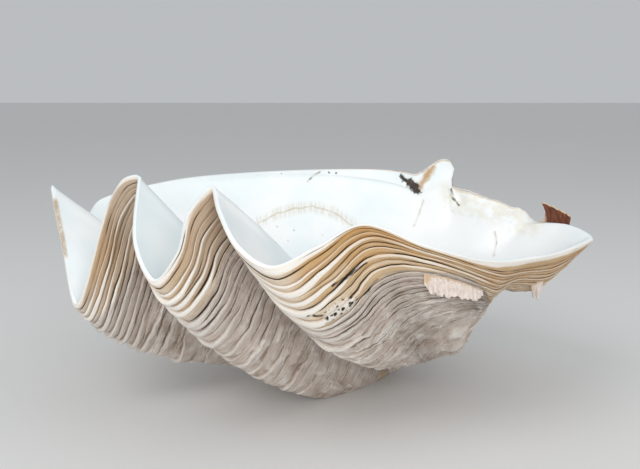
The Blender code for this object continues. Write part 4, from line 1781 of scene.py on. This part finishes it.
@dataclass(frozen=True)
class LigamentFinish:
    """Dried ligament: dark red-brown fibres, with a pale top edge and a pale foot on the left."""

    brown: Colour = paint(112, 58, 34)
    red: Colour = paint(158, 88, 48)
    dark: Colour = paint(48, 26, 20)
    pale: Colour = paint(226, 204, 176)

    def material(self) -> bpy.types.Material:
        """Make the ligament's material.

        Returns:
            The material.
        """
        sheet = NodeSheet("dried_ligament")
        up = sheet.measure("up")
        along = sheet.measure("along")
        place = sheet.node("ShaderNodeCombineXYZ", None, {"X": along * 16.0 + up * 1.5, "Y": up * 2.0})
        fibres = sheet.noise(1.0, 5.0, place, 0.65)
        grain = sheet.noise(0.0025, 4.0, None, 0.7)
        sheet.colour = sheet.blend(self.dark, self.brown, fibres.rise(0.30, 0.52))
        sheet.cover(self.red, (fibres * 0.8 + grain * 0.3).rise(0.56, 0.74))
        edge = (up + (grain - 0.5) * 0.08).rise(0.88, 0.95)
        foot = (along * 2.2 + up * 0.9 + (fibres - 0.5) * 0.3).fall(0.25, 0.50)
        sheet.cover(self.pale, edge.most(foot) * 0.9)
        normal = sheet.bump(fibres + grain * 0.4, 0.0012, 0.9)
        return sheet.finish(0.55 + grain * 0.3, normal)


@dataclass
class ShellMarks:
    """Marks on the shell, found from the pixels of the picture that show them."""

    skin: BVHTree
    view: PhotoView = field(default_factory=PhotoView)

    def line(self, pixels: tuple) -> list[Vector]:
        """The places that a row of pixels shows."""
        return [self.view.on_shell(pixel, self.skin) for pixel in pixels]


@dataclass
class OutsideMarks(ShellMarks):
    """Marks on the outside: the bored patch, the stain and the cracks with their widths."""

    boring_pixels: tuple = ((331, 313.5), (341, 309), (350, 305))
    stain_pixels: tuple = ((384, 376),)
    crack_pixels: tuple = (
        (((333, 286), (350, 275), (366, 264)), 0.0030),
        (((308, 316), (325, 316)), 0.0026),
        (((354, 302), (366, 292), (378, 279)), 0.0024),
    )

    def __post_init__(self) -> None:
        """Find every mark on the shell."""
        self.boring = self.line(self.boring_pixels)
        self.stain = self.line(self.stain_pixels)
        self.cracks = [(self.line(pixels), wide) for pixels, wide in self.crack_pixels]


@dataclass
class InsideMarks(ShellMarks):
    """Marks inside the shell: the muscle's scar, the stains, the chips, and the cracks, wide and dark."""

    scar_pixels: tuple = (
        (258, 223), (277, 214), (296, 208), (314, 206.6), (331, 211), (342, 218), (352, 225),
    )
    speck_pixels: tuple = ((272, 238), (320, 240))
    plate_pixels: tuple = ((455, 194), (480, 206), (512, 216), (532, 224))
    ochre_pixels: tuple = ((420, 187), (427, 175), (433, 167))
    pocket_pixels: tuple = ((403, 178), (410, 183), (417, 189.5))
    notch_pixels: tuple = ((450, 190), (453, 198), (459, 205))
    left_edge_pixels: tuple = ((57, 204), (61, 220), (65, 236), (68, 250))
    chip_pixels: tuple = ((281, 173.5), (329, 173), (336, 173.5))
    rim_crack_pixels: tuple = ((320, 171.5), (313, 176), (307, 182))
    tooth_crack_pixels: tuple = ((424, 200), (419, 212), (414, 225))
    right_crack_pixels: tuple = ((495, 232), (497, 245), (493, 256))

    def __post_init__(self) -> None:
        """Find every mark on the shell."""
        self.scar = self.line(self.scar_pixels)
        self.specks = self.line(self.speck_pixels)
        self.plate = self.line(self.plate_pixels)
        self.ochre = self.line(self.ochre_pixels)
        self.pocket = self.line(self.pocket_pixels)
        self.chips = self.line(self.chip_pixels)
        self.left_edge = self.line(self.left_edge_pixels)
        self.cracks = (
            (self.line(self.rim_crack_pixels), 0.0016, 0.75),
            (self.line(self.tooth_crack_pixels), 0.0010, 0.35),
            (self.line(self.right_crack_pixels), 0.0010, 0.40),
            (self.line(self.notch_pixels), 0.0026, 0.80),
        )


@dataclass(frozen=True)
class Lamp:
    """A soft lamp: its name, its place, its size in metres and its power in watts."""

    name: str
    place: Triple
    size: float
    power: float


@dataclass
class Studio:
    """The floor, the light and the camera."""

    view: PhotoView = field(default_factory=PhotoView)
    half_floor: float = 15.0
    floor_colour: Colour = (0.78, 0.78, 0.77, 1.0)
    floor_roughness: float = 0.8
    sky_colour: Colour = (0.62, 0.64, 0.66, 1.0)
    sky_strength: float = 0.8
    aim: Triple = (0.0, 0.0, 0.15)
    lamps: tuple[Lamp, ...] = (
        Lamp("key", (-1.2, -1.4, 2.2), 1.6, 19.0),
        Lamp("fill", (1.6, -0.6, 1.8), 2.0, 6.0),
        Lamp("front", (0.4, -2.6, 0.8), 2.2, 34.0),
    )

    def build(self) -> None:
        """Set up everything round the shell."""
        self.camera()
        self.floor()
        self.light()

    def camera(self) -> None:
        """Stand the camera where the picture was taken from."""
        lens = bpy.data.cameras.new("camera")
        lens.lens = self.view.lens
        lens.sensor_width = self.view.sensor
        camera = bpy.data.objects.new("camera", lens)
        camera.location = self.view.place
        camera.rotation_euler = (math.radians(self.view.tilt), 0.0, 0.0)
        bpy.context.scene.collection.objects.link(camera)
        bpy.context.scene.camera = camera

    def floor(self) -> None:
        """Lay a plain floor."""
        mesh = bpy.data.meshes.new("floor")
        half = self.half_floor
        corners = [(-half, -half, 0), (half, -half, 0), (half, half, 0), (-half, half, 0)]
        mesh.from_pydata(corners, [], [(0, 1, 2, 3)])
        floor = bpy.data.objects.new("floor", mesh)
        bpy.context.scene.collection.objects.link(floor)
        material = bpy.data.materials.new("floor")
        material.use_nodes = True
        shader = material.node_tree.nodes["Principled BSDF"]
        shader.inputs["Base Color"].default_value = self.floor_colour
        shader.inputs["Roughness"].default_value = self.floor_roughness
        mesh.materials.append(material)

    def light(self) -> None:
        """Hang the sky and the lamps, all of them soft."""
        scene = bpy.context.scene
        world = bpy.data.worlds.new("studio")
        scene.world = world
        world.use_nodes = True
        sky = world.node_tree.nodes["Background"]
        sky.inputs["Color"].default_value = self.sky_colour
        sky.inputs["Strength"].default_value = self.sky_strength
        for lamp in self.lamps:
            light = bpy.data.lights.new(lamp.name, "AREA")
            light.size = lamp.size
            light.energy = lamp.power
            thing = bpy.data.objects.new(lamp.name, light)
            thing.location = lamp.place
            way = Vector(self.aim) - Vector(lamp.place)
            thing.rotation_euler = way.to_track_quat("-Z", "Y").to_euler()
            scene.collection.objects.link(thing)
        scene.view_settings.view_transform = "Standard"


def dress_valve(valve: bpy.types.Object, skin: BVHTree) -> None:
    """Give the valve its two finishes, the outside's up to the rim and the inside's from there on.

    Args:
        valve: The valve's object.
        skin: Its surface, to find what the picture shows.
    """
    mesh = valve.data
    mesh.materials.append(LedgeFinish().material(OutsideMarks(skin)))
    mesh.materials.append(PorcelainFinish().material(InsideMarks(skin)))
    way = np.zeros(len(mesh.vertices), np.float32)
    mesh.attributes["way"].data.foreach_get("value", way)
    slots = []
    for face in mesh.polygons:
        inner = min(way[corner] for corner in face.vertices) > 0.5
        slots.append((Surface.INSIDE if inner else Surface.OUTSIDE).value)
    mesh.polygons.foreach_set("material_index", slots)
    mesh.update()


def dress_piece(piece: bpy.types.Object, material: bpy.types.Material) -> None:
    """Give a small piece its finish and say what it belongs to.

    Args:
        piece: The piece's object.
        material: Its material.
    """
    piece.data.materials.append(material)
    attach(piece, "root")
    log.info("%s: %d faces", piece.name, len(piece.data.polygons))


def main() -> None:
    """Build the shell and the studio."""
    Studio().build()
    valve = Valve().build()
    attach(valve, "root")
    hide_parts("shell")
    log.info("valve: %d faces", len(valve.data.polygons))
    corners = [face.vertices for face in valve.data.polygons]
    skin = BVHTree.FromPolygons([spot.co for spot in valve.data.vertices], corners)
    dress_valve(valve, skin)
    form = ValveForm()
    torn = FrillFinish().material()
    dress_piece(Frill(form).build(), torn)
    dress_piece(Stub(PhotoView().on_shell(STUB_PIXEL, skin)).build(), torn)
    ligament = Ligament(form).build()
    dress_piece(ligament, LigamentFinish().material())
    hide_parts("ligament")


if __name__ == "__main__":
    main()
